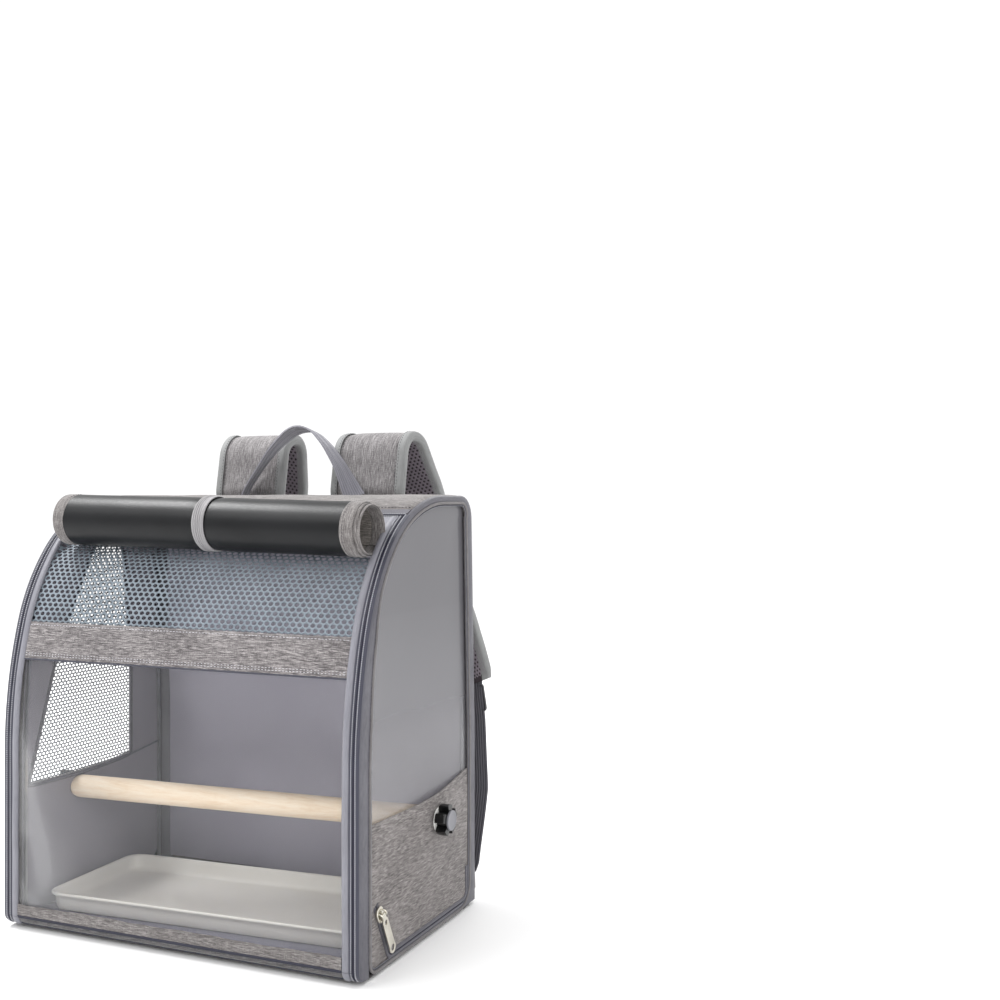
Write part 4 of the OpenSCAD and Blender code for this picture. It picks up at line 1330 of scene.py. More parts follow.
def side_panel(side):
    """heather lower side with its sagging bound top edge"""
    mb = MB()
    loop = inset(LOOP, 2.4)
    y0, y1 = loop[:, 0].min() + 0.3, loop[:, 0].max() - 0.3
    y = np.concatenate([y0 + (1 - np.cos(np.linspace(0, PI2, 14))) * 12, np.linspace(y0 + 14, y1 - 24, 44), y1 - 22 * (1 - np.sin(np.linspace(0, PI2, 16)))])
    y = np.unique(y)
    lo, hi = loop_z_range(loop, y)
    top = np.minimum(sag(y), hi)
    nv = 40
    t = np.linspace(0, 1, nv)
    Z = lo[:, None] + (top - lo)[:, None] * t[None]
    Y = np.repeat(y[:, None], nv, 1)
    fade = np.minimum(edge_fade(len(y), nv, 0.06, 0.04), 1)
    w = wrinkle(Y, Z, 61 + (side > 0), 0.55, low=0.004, high=0.018, ang=1.1, spread=0.9)
    X = HW - 1.15 + (0.75 + w) * fade
    push = 4.6 * np.exp(-(((Y - side * SKEW) / 46.0) ** 2 + ((Z - PZ0 + side * DROP) / 34.0) ** 2)) * np.clip((92.0 - Y) / 30.0, 0, 1) * np.clip((Y + 89.0) / 30.0, 0, 1) * np.clip(Z / 40.0, 0, 1)
    X = X + push
    seam = np.exp(-((Z - top[:, None] + 4.0) / 1.1) ** 2)
    X = X - 0.35 * seam
    Pf = np.stack([X * side, Y, Z], -1)
    Pb = np.stack([(HW - 2.4 + push) * side, Y, Z], -1)
    uv = np.stack([Y, Z], -1)
    if side > 0:
        shell(mb, Pf, Pb, uv, 0)
    else:
        shell(mb, Pf[::-1], Pb[::-1], uv[::-1], 0)
    # topstitch under the top edge
    line = np.stack([side * (HW - 0.55 + 4.0 * np.exp(-((y - side * SKEW) / 46.0) ** 2 - ((top - 4.0 - PZ0 + side * DROP) / 34.0) ** 2) * np.clip((92.0 - y) / 30.0, 0, 1)), y, top - 4.0], 1)[2:-2]
    Q, T, tt = along(line, 3.0)
    NN = np.tile([side, 0, 0], (len(Q), 1)).astype(float)
    pills(mb, Q, T, NN, 1.9, 0.5, 0.25, 1)
    nm = "panel_r" if side > 0 else "panel_l"
    ob = mb.build("side_" + nm, [M["heather_side"], M["thread_dk"]], "shell", [nm], "heather")
    return ob


side_panel(1)
side_panel(-1)


def tape_loop(name, loop, x, w, t, mat, body, side, mb=None, lift=0.0, start=None, end=None, thread=None):
    n = len(loop)
    tt = np.roll(loop, -1, 0) - np.roll(loop, 1, 0)
    tt /= np.linalg.norm(tt, axis=1)[:, None]
    nin = np.stack([tt[:, 1], -tt[:, 0]], 1)
    C = np.stack([np.full(n, x), loop[:, 0], loop[:, 1]], 1)
    A = np.stack([np.zeros(n), -nin[:, 0], -nin[:, 1]], 1)
    B = np.tile([float(side), 0.0, 0.0], (n, 1))
    sec = rounded(w, t, 4)
    if start is not None:
        C, A, B = C[start:end], A[start:end], B[start:end]
        sweep(mb, C, A, B, orient(sec[::-1], side), mat, closed=False)
    else:
        sweep(mb, C, A, B, orient(sec[::-1], side), mat, closed=True)
    return C, A, B


def film_side():
    """right side window: one clear sheet set behind the piping, softly sagging"""
    mb = MB()
    loop = inset(LOOP, 0.5)
    c = np.array([5.0, 215.0])
    ang = np.linspace(math.pi, -math.pi, 140)[:-1]
    B = ray_loop(loop, c, ang)
    # clip the fan to above the lower panel's hidden edge
    low = sag(B[:, 0]) - 10
    for i in range(len(ang)):
        if B[i, 1] < low[i]:
            d = B[i] - c
            lo_, hi_ = 0.0, 1.0
            for _ in range(30):
                m = (lo_ + hi_) / 2
                p = c + d * m
                if p[1] < sag(p[0]) - 10:
                    hi_ = m
                else:
                    lo_ = m
            B[i] = c + d * lo_
    lv = np.concatenate([[0.0], np.linspace(0.08, 0.9, 18), [0.94, 0.97, 0.985, 1.0]])
    P = loop_fan(B, c, lv)
    f = (1 - lv ** 4)[:, None]
    Y, Z = P[..., 0], P[..., 1]
    w = wrinkle(Y, Z, 71, 0.5, low=0.002, high=0.01) * f
    X = HW - 3.0 - 1.4 * f + w
    uv = np.concatenate([P, P[:, :1]], 1)
    Pf = np.stack([X, Y, Z], -1)
    Pb = np.stack([X - 0.5, Y, Z], -1)
    mb.grid(Pf[1:], False, True, uv[1:], 0)
    mb.grid(Pb[1:], False, True, uv[1:], 0, flip=True)
    n = len(ang)
    for G, fl in ((Pf, False), (Pb, True)):
        ring = G[1]
        V = np.vstack([G[0, :1], ring])
        F = [[0, 1 + i, 1 + (i + 1) % n] for i in range(n)]
        F = [q[::-1] for q in F] if fl else F
        mb.add(V, [q[::-1] for q in F] if False else F, [np.zeros((3, 2)) for _ in F], 0)
    m = len(lv) - 1
    V = np.concatenate([Pf[m], Pb[m]])
    F = [[i, (i + 1) % n, n + (i + 1) % n, n + i] for i in range(n)]
    mb.add(V, F, [np.zeros((4, 2)) for _ in F], 0)
    ob = mb.build("side_window_film", [M["film_side"]], "shell", ["film_right"], "side_film", weld=0.01, angle=60)
    return ob


film_side()

WIN = np.array([[-84, 104], [-50, 213], [-36, 247], [0, 316], [37, 316], [48, 206], [48, 104]], float)


def round_poly(poly, r, n=5):
    out = []
    m = len(poly)
    for i in range(m):
        p0, p1, p2 = poly[i - 1], poly[i], poly[(i + 1) % m]
        a, b = unit(p0 - p1), unit(p2 - p1)
        ang = math.acos(max(-1, min(1, float(a @ b))))
        d = min(r / math.tan(ang / 2), 0.45 * min(np.linalg.norm(p0 - p1), np.linalg.norm(p2 - p1)))
        s, e = p1 + a * d, p1 + b * d
        for t in np.linspace(0, 1, n):
            out.append((1 - t) ** 2 * s + 2 * t * (1 - t) * p1 + t * t * e)
    return np.array(out)


def inside(poly, x, y):
    c = False
    n = len(poly)
    j = n - 1
    for i in range(n):
        xi, yi = poly[i]
        xj, yj = poly[j]
        if (yi > y) != (yj > y) and x < (xj - xi) * (y - yi) / (yj - yi) + xi:
            c = not c
        j = i
    return c


def left_wall():
    c = np.array([0.0, 205.0])
    ang = np.linspace(math.pi, -math.pi, 160)[:-1]
    win = round_poly(WIN, 9)
    W = ray_loop(win, c, ang)
    Wo = ray_loop(inset(round_poly(WIN, 9), -5.2), c, ang)
    # the polygon runs up the front and over, as the loop does
    if np.linalg.norm(Wo - c, axis=1).mean() < np.linalg.norm(W - c, axis=1).mean():
        Wo = ray_loop(inset(round_poly(WIN, 9), 5.2), c, ang)
    W[:, 1] = np.maximum(W[:, 1], sag(W[:, 0]) + 0.6)
    OUT = ray_loop(inset(LOOP, 0.8), c, ang)
    lv = np.linspace(0, 1, 26)
    n = len(ang)

    # inner lining: ring from the window to the outline
    mb = MB()
    P = W[None] + (OUT - W)[None] * lv[:, None, None]
    Y, Z = P[..., 0], P[..., 1]
    fade = np.sin(np.pi * np.clip(lv, 0, 1)) ** 0.7
    low = np.clip((118 - Z) / 20, 0, 1)
    w = wrinkle(Y, Z, 81, 1.3, low=0.004, high=0.016, ang=0.6, spread=1.2) * fade[:, None] * (0.35 + 0.65 * low)
    # a sewn line where the upper trim meets the lower lining
    line = np.abs(Z - (sag(Y) - 1))
    crease = 0.9 * np.exp(-(line / 1.4) ** 2)
    X = -HW + 3.7 + 0.5 * fade[:, None] + np.maximum(w, -0.7) - crease * 0.6
    push = 4.4 * np.exp(-(((Y + SKEW) / 46.0) ** 2 + ((Z - PZ0 - DROP) / 34.0) ** 2)) * np.clip((92.0 - Y) / 30.0, 0, 1) * np.clip(fade[:, None] * 1.6, 0, 1)
    X = X - push
    Pin = np.stack([X, Y, Z], -1)
    Pot = np.stack([-HW + 2.7 - push, Y, Z], -1)
    uv = np.concatenate([P, P[:, :1]], 1)
    mb.grid(Pin, False, True, uv, 0, flip=True)
    mb.grid(Pot, False, True, uv, 0)
    for k, fl in ((0, False), (len(lv) - 1, True)):
        V = np.concatenate([Pin[k], Pot[k]])
        F = [[i, (i + 1) % n, n + (i + 1) % n, n + i] for i in range(n)]
        F = [q[::-1] for q in F] if not fl else F
        mb.add(V, F, [np.zeros((4, 2)) for _ in F], 0)
    # bound window edge
    t = np.roll(W, -1, 0) - np.roll(W, 1, 0)
    t /= np.linalg.norm(t, axis=1)[:, None]
    C = np.stack([np.full(n, -HW + 4.2), W[:, 0], W[:, 1]], 1)
    A = np.stack([np.zeros(n), t[:, 1], -t[:, 0]], 1)
    B = np.tile([1.0, 0, 0], (n, 1))
    sweep(mb, C + A * -1.6, A, B, rounded(3.6, 1.1, 4), 1, closed=True)
    # seam tape along the top of the lower lining
    ys = np.linspace(-86, 91, 80)
    Cs = np.stack([np.full(80, -HW + 4.4), ys, sag(ys) - 1.0], 1)
    Ts = unit(np.gradient(Cs, axis=0))
    Bs = np.tile([1.0, 0, 0], (80, 1))
    As = np.cross(Bs, Ts)
    sweep(mb, Cs, As, Bs, rounded(1.9, 0.9, 3), 2)
    mb.build("side_lining_left", [M["lining"], M["tape"], M["tape_dk"]], "shell", ["lining_left"], "lining", weld=0.01)

    # outer frame cloth above the lower panel
    mb = MB()
    OUT2 = ray_loop(inset(LOOP, 2.2), c, ang)
    k = OUT2[:, 1] < sag(OUT2[:, 0]) + 0.4
    for i in np.where(k)[0]:
        d = OUT2[i] - c
        lo_, hi_ = 0.0, 1.0
        for _ in range(30):
            m_ = (lo_ + hi_) / 2
            p = c + d * m_
            if p[1] < sag(p[0]) + 0.4:
                hi_ = m_
            else:
                lo_ = m_
        OUT2[i] = c + d * lo_
    Wk = Wo.copy()
    kk = Wk[:, 1] < sag(Wk[:, 0]) + 1.0
    Wk[kk, 1] = sag(Wk[kk, 0]) + 1.0
    far = np.linalg.norm(OUT2 - c, axis=1) < np.linalg.norm(Wk - c, axis=1) + 0.5
    OUT2[far] = c + (Wk[far] - c) * (1 + 0.6 / np.linalg.norm(Wk[far] - c, axis=1))[:, None]
    P = Wk[None] + (OUT2 - Wk)[None] * lv[:, None, None]
    Y, Z = P[..., 0], P[..., 1]
    w = wrinkle(Y, Z, 91, 0.3) * fade[:, None]
    X = -HW + 1.1 - (0.55 + w) * fade[:, None]
    Pot = np.stack([X, Y, Z], -1)
    Pin = np.stack([np.full_like(X, -HW + 2.4), Y, Z], -1)
    uv = np.concatenate([P, P[:, :1]], 1)
    mb.grid(Pot, False, True, uv, 0)
    mb.grid(Pin, False, True, uv, 0, flip=True)
    for kx, fl in ((0, True), (len(lv) - 1, False)):
        V = np.concatenate([Pot[kx], Pin[kx]])
        F = [[i, (i + 1) % n, n + (i + 1) % n, n + i] for i in range(n)]
        F = [q[::-1] for q in F] if not fl else F
        mb.add(V, F, [np.zeros((4, 2)) for _ in F], 0)
    mb.build("side_frame_left", [M["heather_side"]], "shell", ["frame_left"], "heather", weld=0.01)

    # the net
    mb = MB()
    big = inset(round_poly(WIN, 9), -3.0)
    if big[:, 0].max() < WIN[:, 0].max():
        big = inset(round_poly(WIN, 9), 3.0)
    fn = lambda u, v: (np.stack([-HW + 2.1 + 0 * u, u, v], -1), np.stack([-np.ones_like(u), 0 * u, 0 * u], -1))
    net(mb, fn, -86, 60, 110, 326, a=4.3, b=2.9, ru=1.52, rv=1.18, h=0.36, mask=lambda x, y: inside(big, x, y))
    mb.build("side_net_left", [M["mesh_side"]], "shell", ["mesh_left"], "mesh", angle=75)


left_wall()


# =====================================================================
# rolled curtain
# =====================================================================
RC = on(ARCS[2][0], 116.0 + 16.0, RH)
C3 = ARCS[2][0]
TURNS = 3.0
ROLL_X = 4.0


def curtain_path(r0=21.8, r1=18.9, lift=0.75, n_turn=64):
    """the sheet comes down from the top seam, through the trough, round under the roll's front and back over its top, turning inward.
    returns points (y, z), the normal that faces away from the roll's axis, tangents, turn number and how much each point moves with the roll"""
    h = np.linspace(HS - 1.6, RH + 1.2, 26)
    q = 116.0 + lift - dip(h)
    flap = np.stack([C3[0] - q * np.cos(np.radians(h)), C3[1] + q * np.sin(np.radians(h))], 1)
    t = np.linspace(0, TURNS * 2 * math.pi, int(TURNS * n_turn))
    a = RAD(RH + 180.0) + t
    r = r0 + (r1 - r0) * t / (TURNS * 2 * math.pi)
    ring = np.stack([RC[0] - r * np.cos(a), RC[1] + r * np.sin(a)], 1)
    P = np.concatenate([flap, ring])
    k0 = len(flap)
    for _ in range(3):
        P[k0 - 8:k0 + 6] = (P[k0 - 9:k0 + 5] + 2 * P[k0 - 8:k0 + 6] + P[k0 - 7:k0 + 7]) / 4
    T = unit(np.gradient(P, axis=0))
    N = np.stack([T[:, 1], -T[:, 0]], 1)
    if N[k0 + 20] @ (P[k0 + 20] - np.array(RC)) < 0:
        N = -N
    turn = np.clip(np.arange(len(P)) - k0, 0, None) / float(n_turn)
    wt = np.clip(np.arange(len(P)) / (k0 * 0.75), 0, 1)
    wt = wt * wt * (3 - 2 * wt)
    return P, N, T, turn, wt, k0


def roll_turned(Y, Z, X, wt):
    """points turned about the middle of the front's curve, so the roll lies lower at the right"""
    d = np.radians(tilt(X) * wt)
    y, z = Y - C3[0], Z - C3[1]
    c, s_ = np.cos(d), np.sin(d)
    # heading grows from -Y over +Z, so a growing heading turns (y, z) clockwise
    return C3[0] + y * c + z * s_, C3[1] - y * s_ + z * c


CP, CN, CT, CTURN, CW, CK = curtain_path()


def make_roll():
    th = 0.6
    shift = 2.6 * CTURN
    mb = MB()
    cols = 57
    X = ROLL_X + np.linspace(-136.5, 136.5, cols)[:, None] + shift[None]
    ph = CTURN[None]
    w = 0.20 * np.sin(X / 29.0 + ph * 2) + 0.12 * np.sin(X / 9.0 + 1.3 + ph * 5) + 0.16 * np.sin(X / 47.0 - ph * 7)
    off = w * np.clip(CTURN * 4, 0, 1)[None] * 0.5 - 0.25 * np.clip(CTURN, 0, 1)[None]
    nip = 0.9 * np.exp(-((X - 9.0) / 9.0) ** 2) * np.clip(CTURN * 6, 0, 1)[None] * np.clip(2 - CTURN, 0, 1)[None]

    def surf(d):
        Y = CP[None, :, 0] + CN[None, :, 0] * (d + off - nip)
        Z = CP[None, :, 1] + CN[None, :, 1] * (d + off - nip)
        Y, Z = roll_turned(Y, Z, X, CW[None])
        return np.stack([X, Y, Z], -1)

    Pf, Pb = surf(th / 2), surf(-th / 2)
    L = cum(CP)
    uv = np.stack(np.broadcast_arrays(X, L[None] + 0 * X), -1)
    shell(mb, Pf, Pb, uv, 0, 1, 1)
    cl = mb.build("curtain_cloth", [M["leather"], M["heather_dk"]], "door", ["curtain_roll"], "black_film", angle=60)
    for side in (1, -1):
        mb = MB()
        k = CK - 6
        p, N_ = CP[k:], CN[k:]
        sh = shift[k:]
        W, tt = 12.0, 0.95
        q = np.array([-W / 2, -W / 2 + 0.3, -W / 2 + 2, -W / 4, 0, W / 4, W / 2 - 1.4, W / 2 - 0.4, W / 2])
        e = np.array([0.15, 0.42, 0.5, 0.5, 0.5, 0.5, 0.5, 0.42, 0.1]) * tt
        ox = np.concatenate([q, q[::-1]])
        on_ = np.concatenate([-e, e[::-1]])
        Xh = ROLL_X + side * (136.5 + 5.4) + sh[:, None] + ox[None] * side
        wav = 0.16 * np.sin(np.arange(len(p)) / 4.0 + side)[:, None] - 0.25 * np.clip(CTURN[k:], 0, 1)[:, None]
        Y = p[:, :1] + N_[:, :1] * (on_[None] + wav)
        Z = p[:, 1:] + N_[:, 1:] * (on_[None] + wav)
        Y, Z = roll_turned(Y, Z, Xh, CW[k:, None])
        G = np.stack([Xh, Y, Z], -1)
        u = cum(p)
        v = np.append(cum(np.stack([ox, on_], 1)), 2 * W + 2)
        uvh = np.stack(np.meshgrid(u, v, indexing="ij"), -1)
        mb.grid(G, False, True, uvh, 0, flip=side > 0)
        m = len(ox)
        mb.add(G[0], [list(range(m))], [np.zeros((m, 2))], 0)
        mb.add(G[-1], [list(range(m))[::-1]], [np.zeros((m, 2))], 0)
        row = G[:110, 13]
        Nn = np.stack([np.zeros(110), N_[:110, 0], N_[:110, 1]], 1)
        row = row + Nn * 0.05 - np.array([side * 3.4, 0, 0])
        Q, T, t = along(row, 2.8)
        i = np.searchsorted(cum(row), t).clip(1, 109)
        pills(mb, Q, T, Nn[i], 1.7, 0.4, 0.2, 1)
        nm = "hem_r" if side > 0 else "hem_l"
        mb.build("curtain_" + nm, [M["heather_u"], M["thread_dk"]], "door", [nm], "heather")


make_roll()


def roll_strap():
    """ribbed elastic loop round the roll, its tail sewn into the seam"""
    mb = MB()
    x0 = 9.0
    h = np.linspace(HS - 1.6, RH + 1.5, 22)
    q = 116.0 + 0.1 - dip(h)
    F = np.stack([C3[0] - q * np.cos(np.radians(h)), C3[1] + q * np.sin(np.radians(h))], 1)
    a = RAD(RH + 180.0) + np.linspace(0, 2 * math.pi, 110)
    r = 22.1
    R_ = np.stack([RC[0] - r * np.cos(a), RC[1] + r * np.sin(a)], 1)
    # the loop's end is sewn to its own start; the outward offset here is zero
    R_[-16:] = R_[-16:] + (R_[-16:] - np.array(RC)) / r * (np.linspace(0, 1, 16) ** 2 * 0.0)[:, None]
    P2 = np.concatenate([F, R_[:-2]])
    for _ in range(3):
        k0 = len(F)
        P2[k0 - 8:k0 + 6] = (P2[k0 - 9:k0 + 5] + 2 * P2[k0 - 8:k0 + 6] + P2[k0 - 7:k0 + 7]) / 4
    P = np.stack([np.full(len(P2), x0), P2[:, 0], P2[:, 1]], 1)
    T = unit(np.gradient(P, axis=0))
    A = np.tile([1.0, 0, 0], (len(P), 1))
    B = np.cross(T, A)
    if B[60] @ (P[60] - np.array([x0, RC[0], RC[1]])) < 0:
        B = -B
    m = 25
    tt = np.linspace(-1, 1, m)
    top = np.stack([tt * 5.7, 0.55 + 0.26 * np.cos(tt * math.pi * 5) - 0.3 * np.abs(tt) ** 8], 1)
    bot = np.stack([tt[::-1] * 5.7, -0.45 + 0 * tt], 1)
    sec = np.concatenate([top[::-1], bot[::-1]])
    sweep(mb, P, A, B, sec, 0)
    return mb.build("curtain_strap", [M["elastic"]], "door", ["roll_strap"], "tape", angle=50)


roll_strap()


# =====================================================================
# plates with holes, from drawn outlines
# =====================================================================
def ring_pts(pts, close=True):
    return [tuple(p) for p in pts]


def plate(outer, holes, thick, bevel, res=3):
    """flat plate in the local XY plane, centred on z = 0, with rounded rims. returns verts, faces"""
    cu = bpy.data.curves.new("tmp", "CURVE")
    cu.dimensions = "2D"
    cu.fill_mode = "BOTH"
    cu.extrude = max(0.0, thick / 2 - bevel)
    cu.bevel_depth = bevel
    cu.bevel_resolution = res
    cu.offset = -bevel
    for pts in [outer] + list(holes):
        sp = cu.splines.new("POLY")
        sp.points.add(len(pts) - 1)
        for p, q in zip(sp.points, pts):
            p.co = (q[0], q[1], 0, 1)
        sp.use_cyclic_u = True
    ob = bpy.data.objects.new("tmp", cu)
    bpy.context.scene.collection.objects.link(ob)
    bpy.context.view_layer.update()
    me = bpy.data.meshes.new_from_object(ob.evaluated_get(bpy.context.evaluated_depsgraph_get()))
    V = np.array([tuple(v.co) for v in me.vertices])
    F = [list(p.vertices) for p in me.polygons]
    bpy.data.objects.remove(ob)
    bpy.data.meshes.remove(me)
    bpy.data.curves.remove(cu)
    return V, F


def circ(cx, cy, r, n=24, sx=1.0):
    return [(cx + sx * r * math.cos(2 * math.pi * i / n), cy + r * math.sin(2 * math.pi * i / n)) for i in range(n)]


def put(mb, V, F, Mx, mat=0):
    V = np.asarray(V) @ Mx[:3, :3].T + Mx[:3, 3]
    if np.linalg.det(Mx[:3, :3]) < 0:
        F = [f[::-1] for f in F]
    mb.add(V, F, [V[f][:, :2] for f in F], mat)


def local(o, x, y, z):
    m = np.eye(4)
    m[:3, 0], m[:3, 1], m[:3, 2], m[:3, 3] = x, y, z, o
    return m


def tube_pts(P, r, n=10, closed=False):
    """round tube along points: verts, faces"""
    P = np.asarray(P, float)
    T = unit(np.gradient(P, axis=0)) if not closed else unit(np.roll(P, -1, 0) - np.roll(P, 1, 0))
    up = np.array([0.0, 0, 1]) if abs(T[0] @ [0, 0, 1]) < 0.9 else np.array([1.0, 0, 0])
    A = unit(np.cross(T, up))
    for i in range(1, len(P)):  # carried along, so it doesn't turn
        a = A[i - 1] - T[i] * (A[i - 1] @ T[i])
        A[i] = a / max(np.linalg.norm(a), 1e-9)
    B = np.cross(T, A)
    a = np.linspace(0, 2 * math.pi, n, endpoint=False)
    rr = np.broadcast_to(r, (len(P),))
    V = P[:, None] + (A[:, None] * np.cos(a)[None, :, None] + B[:, None] * np.sin(a)[None, :, None]) * rr[:, None, None]
    m = len(P)
    F = []
    for i in range(m if closed else m - 1):
        for j in range(n):
            i2, j2 = (i + 1) % m, (j + 1) % n
            F.append([i * n + j, i * n + j2, i2 * n + j2, i2 * n + j])
    if not closed:
        F.append(list(range(n))[::-1])
        F.append([(m - 1) * n + j for j in range(n)])
    return V.reshape(-1, 3), F


def slider_body(mb, Mx, l, w, mat=0):
    V, F = plate(rrect(-l / 2, l / 2, -w / 2, w / 2, w * 0.42), [], 1.7, 0.6)
    put(mb, V + [0, 0, 2.0], F, Mx, mat)
    V, F = plate(rrect(-l / 2 + 1, l / 2 - 1, -w / 2 + 0.6, w / 2 - 0.6, w * 0.3), [], 1.0, 0.35)
    put(mb, V + [0, 0, 0.8], F, Mx, mat)
    # bridge over the pull's pin
    for s in (-1, 1):
        a = np.linspace(0, math.pi, 11)
        P = np.stack([-2.2 * np.cos(a) * 1.25, np.full(11, s * 2.9), 2.4 + 3.7 * np.sin(a)], 1)
        V, F = tube_pts(P, 0.62, 8)
        put(mb, V, F, Mx, mat)
    P = np.array([[0, -3.2, 4.9], [0, 0, 4.9], [0, 3.2, 4.9]])
    V, F = tube_pts(P, 0.85, 12)
    put(mb, V, F, Mx, mat)


def pull_tab(mb, Mx, l, w, mat=0):
    outer = []
    neck = 2.2
    for i in range(9):
        a = RAD(90 + 180 * i / 8)
        outer.append((-0.2 + 1.7 * math.cos(a), neck * math.sin(a) * 1.0))
    outer += [(3.2, -neck), (5.4, -w / 2 + 0.2)]
    R = w / 2 + 0.5
    outer += [(l - 3.0, -w / 2)]
    for i in range(17):
        a = RAD(-100 + 200 * i / 16)
        outer.append((l + R * math.cos(a), R * math.sin(a)))
    outer += [(l - 3.0, w / 2), (5.4, w / 2 - 0.2), (3.2, neck)]
    outer = outer[::-1] if False else outer
    holes = [circ(l, 0, w / 2 - 1.5, 22), rrect(5.2, 9.0, -1.5, 1.5, 1.3, 4)]
    V, F = plate(outer, holes, 1.5, 0.45)
    put(mb, V + [0, 0, 4.9], F, Mx, mat)


def on_seam(x, s):
    hr = RAD(HS)
    return local((x, SEAM[0], SEAM[1]), (s, 0, 0), (0, math.sin(hr), math.cos(hr)), (0, -math.cos(hr), math.sin(hr)))


for nm, x, s, mat in (("l", -13.0, -1, "gun"), ("r", 5.0, 1, "gun")):
    mb = MB()
    slider_body(mb, on_seam(x, s), 12, 8)
    mb.build("top_slider_" + nm + "_cast", [M["gun"]], "slider_left" if nm == "l" else "slider_right", ["top_slider_" + nm], "gunmetal", angle=35)
    mb = MB()
    pull_tab(mb, on_seam(x, s), 18, 6)
    mb.build("top_pull_" + nm + "_cast", [M["gun"]], "pull_left" if nm == "l" else "pull_right", ["top_pull_" + nm], "gunmetal", angle=35)

SA, SB = np.array([-76.0, 46.0]), np.array([-59.0, 11.2])
SU = (SB - SA) / np.linalg.norm(SB - SA)


def on_side(dx=0.0):
    return local((HW - 0.2 + dx, SA[0], SA[1]), (0, SU[0], SU[1]), (0, -SU[1], SU[0]), (1, 0, 0))


mb = MB()
slider_body(mb, on_side(), 13, 9.5)
mb.build("side_slider_cast", [M["nickel"]], "slider_side", ["side_slider"], "chrome", angle=35)
mb = MB()
pull_tab(mb, on_side(), 32, 8)
mb.build("side_pull_cast", [M["nickel"]], "pull_side", ["side_pull"], "chrome", angle=35)


def walk(p, h, steps):
    """points of a walk in a plane: straight [0, length] and turning [radius, heading] steps, headings 0 up and 90 along"""
    pts = [(p[0], p[1], h)]
    for r, v in steps:
        p = pts[-1]
        if r == 0:
            k = max(2, int(v / 3))
            for i in range(1, k + 1):
                pts.append((p[0] + v * i / k * math.sin(RAD(p[2])), p[1] + v * i / k * math.cos(RAD(p[2])), p[2]))
        else:
            s = 1 if v > p[2] else -1
            c = (p[0] + s * r * math.cos(RAD(p[2])), p[1] - s * r * math.sin(RAD(p[2])))
            k = max(3, int(abs(v - p[2]) / 7))
            for i in range(1, k + 1):
                a = p[2] + (v - p[2]) * i / k
                pts.append((c[0] - s * r * math.cos(RAD(a)), c[1] + s * r * math.sin(RAD(a)), a))
    return pts


def side_zip():
    """path in (y, z) of the tray zip, down the slant and back along the bottom"""
    mb = MB()
    p = SA - SU * 8
    h = 90 + math.degrees(math.atan2(-SU[1], SU[0]))
    w = walk((p[0], p[1]), h, [[0, 44.6], [8, 90], [0, 130.7], [9.5, 0], [0, 20]])
    return np.array([(a[0], a[1]) for a in w])


ZP = side_zip()


def side_zip_mesh():
    mb = MB()
    # smooth even resampling
    L = cum(ZP)
    t = np.linspace(0, L[-1], 120)
    P = np.stack([np.full(120, HW), np.interp(t, L, ZP[:, 0]), np.interp(t, L, ZP[:, 1])], 1)
    T = unit(np.gradient(P, axis=0))
    N = np.tile([1.0, 0, 0], (120, 1))
    A = np.cross(N, T)
    sec = np.array([(-3.6, -0.5), (3.6, -0.5), (3.5, 0.2), (2.0, 0.45), (0.75, 0.3), (0.45, -0.1), (-0.45, -0.1), (-0.75, 0.3), (-2.0, 0.45), (-3.5, 0.2)])
    sweep(mb, P + N * -0.1, A, N, sec, 3)
    for o in (-1, 1):
        Q, TT, tt = along(P + A * o * 0.3, 1.4, 0.5 if o > 0 else 0.1)
        i = np.searchsorted(cum(P), tt).clip(1, 119)
        pills(mb, Q + N[i] * -0.2, A[i], N[i], 0.9, 0.8, 0.4, 1)
        Q, TT, tt = along(P + A * o * 2.6, 2.6)
        i = np.searchsorted(cum(P), tt).clip(1, 119)
        pills(mb, Q + N[i] * 0.1, TT, N[i], 1.6, 0.45, 0.3, 2)
    mb.build("side_zip_chain", [M["zip_tape"], M["coil"], M["thread_dk"], M["tape"]], "shell", ["side_chain"], "coil")


side_zip_mesh()


# =====================================================================
# perch, screws, washers, knobs
# =====================================================================
PUSH = 4.5  # the perch pushes both soft walls out


def lathe_x(mb, prof_, side=1, mat=0, n=48, cx=0.0, lobes=None, amp=0.0, uvx=True, axis=False):
    """profile [(x, r)] turned about the perch axis"""
    pr = np.array(prof_, float)
    a = np.linspace(0, 2 * math.pi, n, endpoint=False)
    R = pr[:, 1][:, None] * np.ones(n)[None]
    if lobes:
        k = np.clip(pr[:, 1] / max(pr[:, 1]), 0, 1) ** 1.5
        R = R * (1 + amp * (np.cos(lobes * a)[None] * k[:, None]))
    X = np.repeat((pr[:, 0] * side)[:, None], n, 1)
    P = np.stack([X, side * SKEW * (X / (side * HW) if axis else 1.0) + R * np.cos(a)[None], PZ0 - side * DROP * (X / (side * HW) if axis else 1.0) + R * np.sin(a)[None]], -1)
    L = cum(pr)
    uv = np.stack(np.meshgrid(L, np.linspace(0, 2 * math.pi * pr[:, 1].max(), n + 1), indexing="ij"), -1)
    mb.grid(P, False, True, uv, mat, flip=side < 0)
    for k, fl in ((0, side < 0), (-1, side > 0)):
        if pr[k, 1] > 1e-6:
            idx = list(range(n))
            mb.add(P[k], [idx if fl else idx[::-1]], [np.zeros((n, 2))], mat)


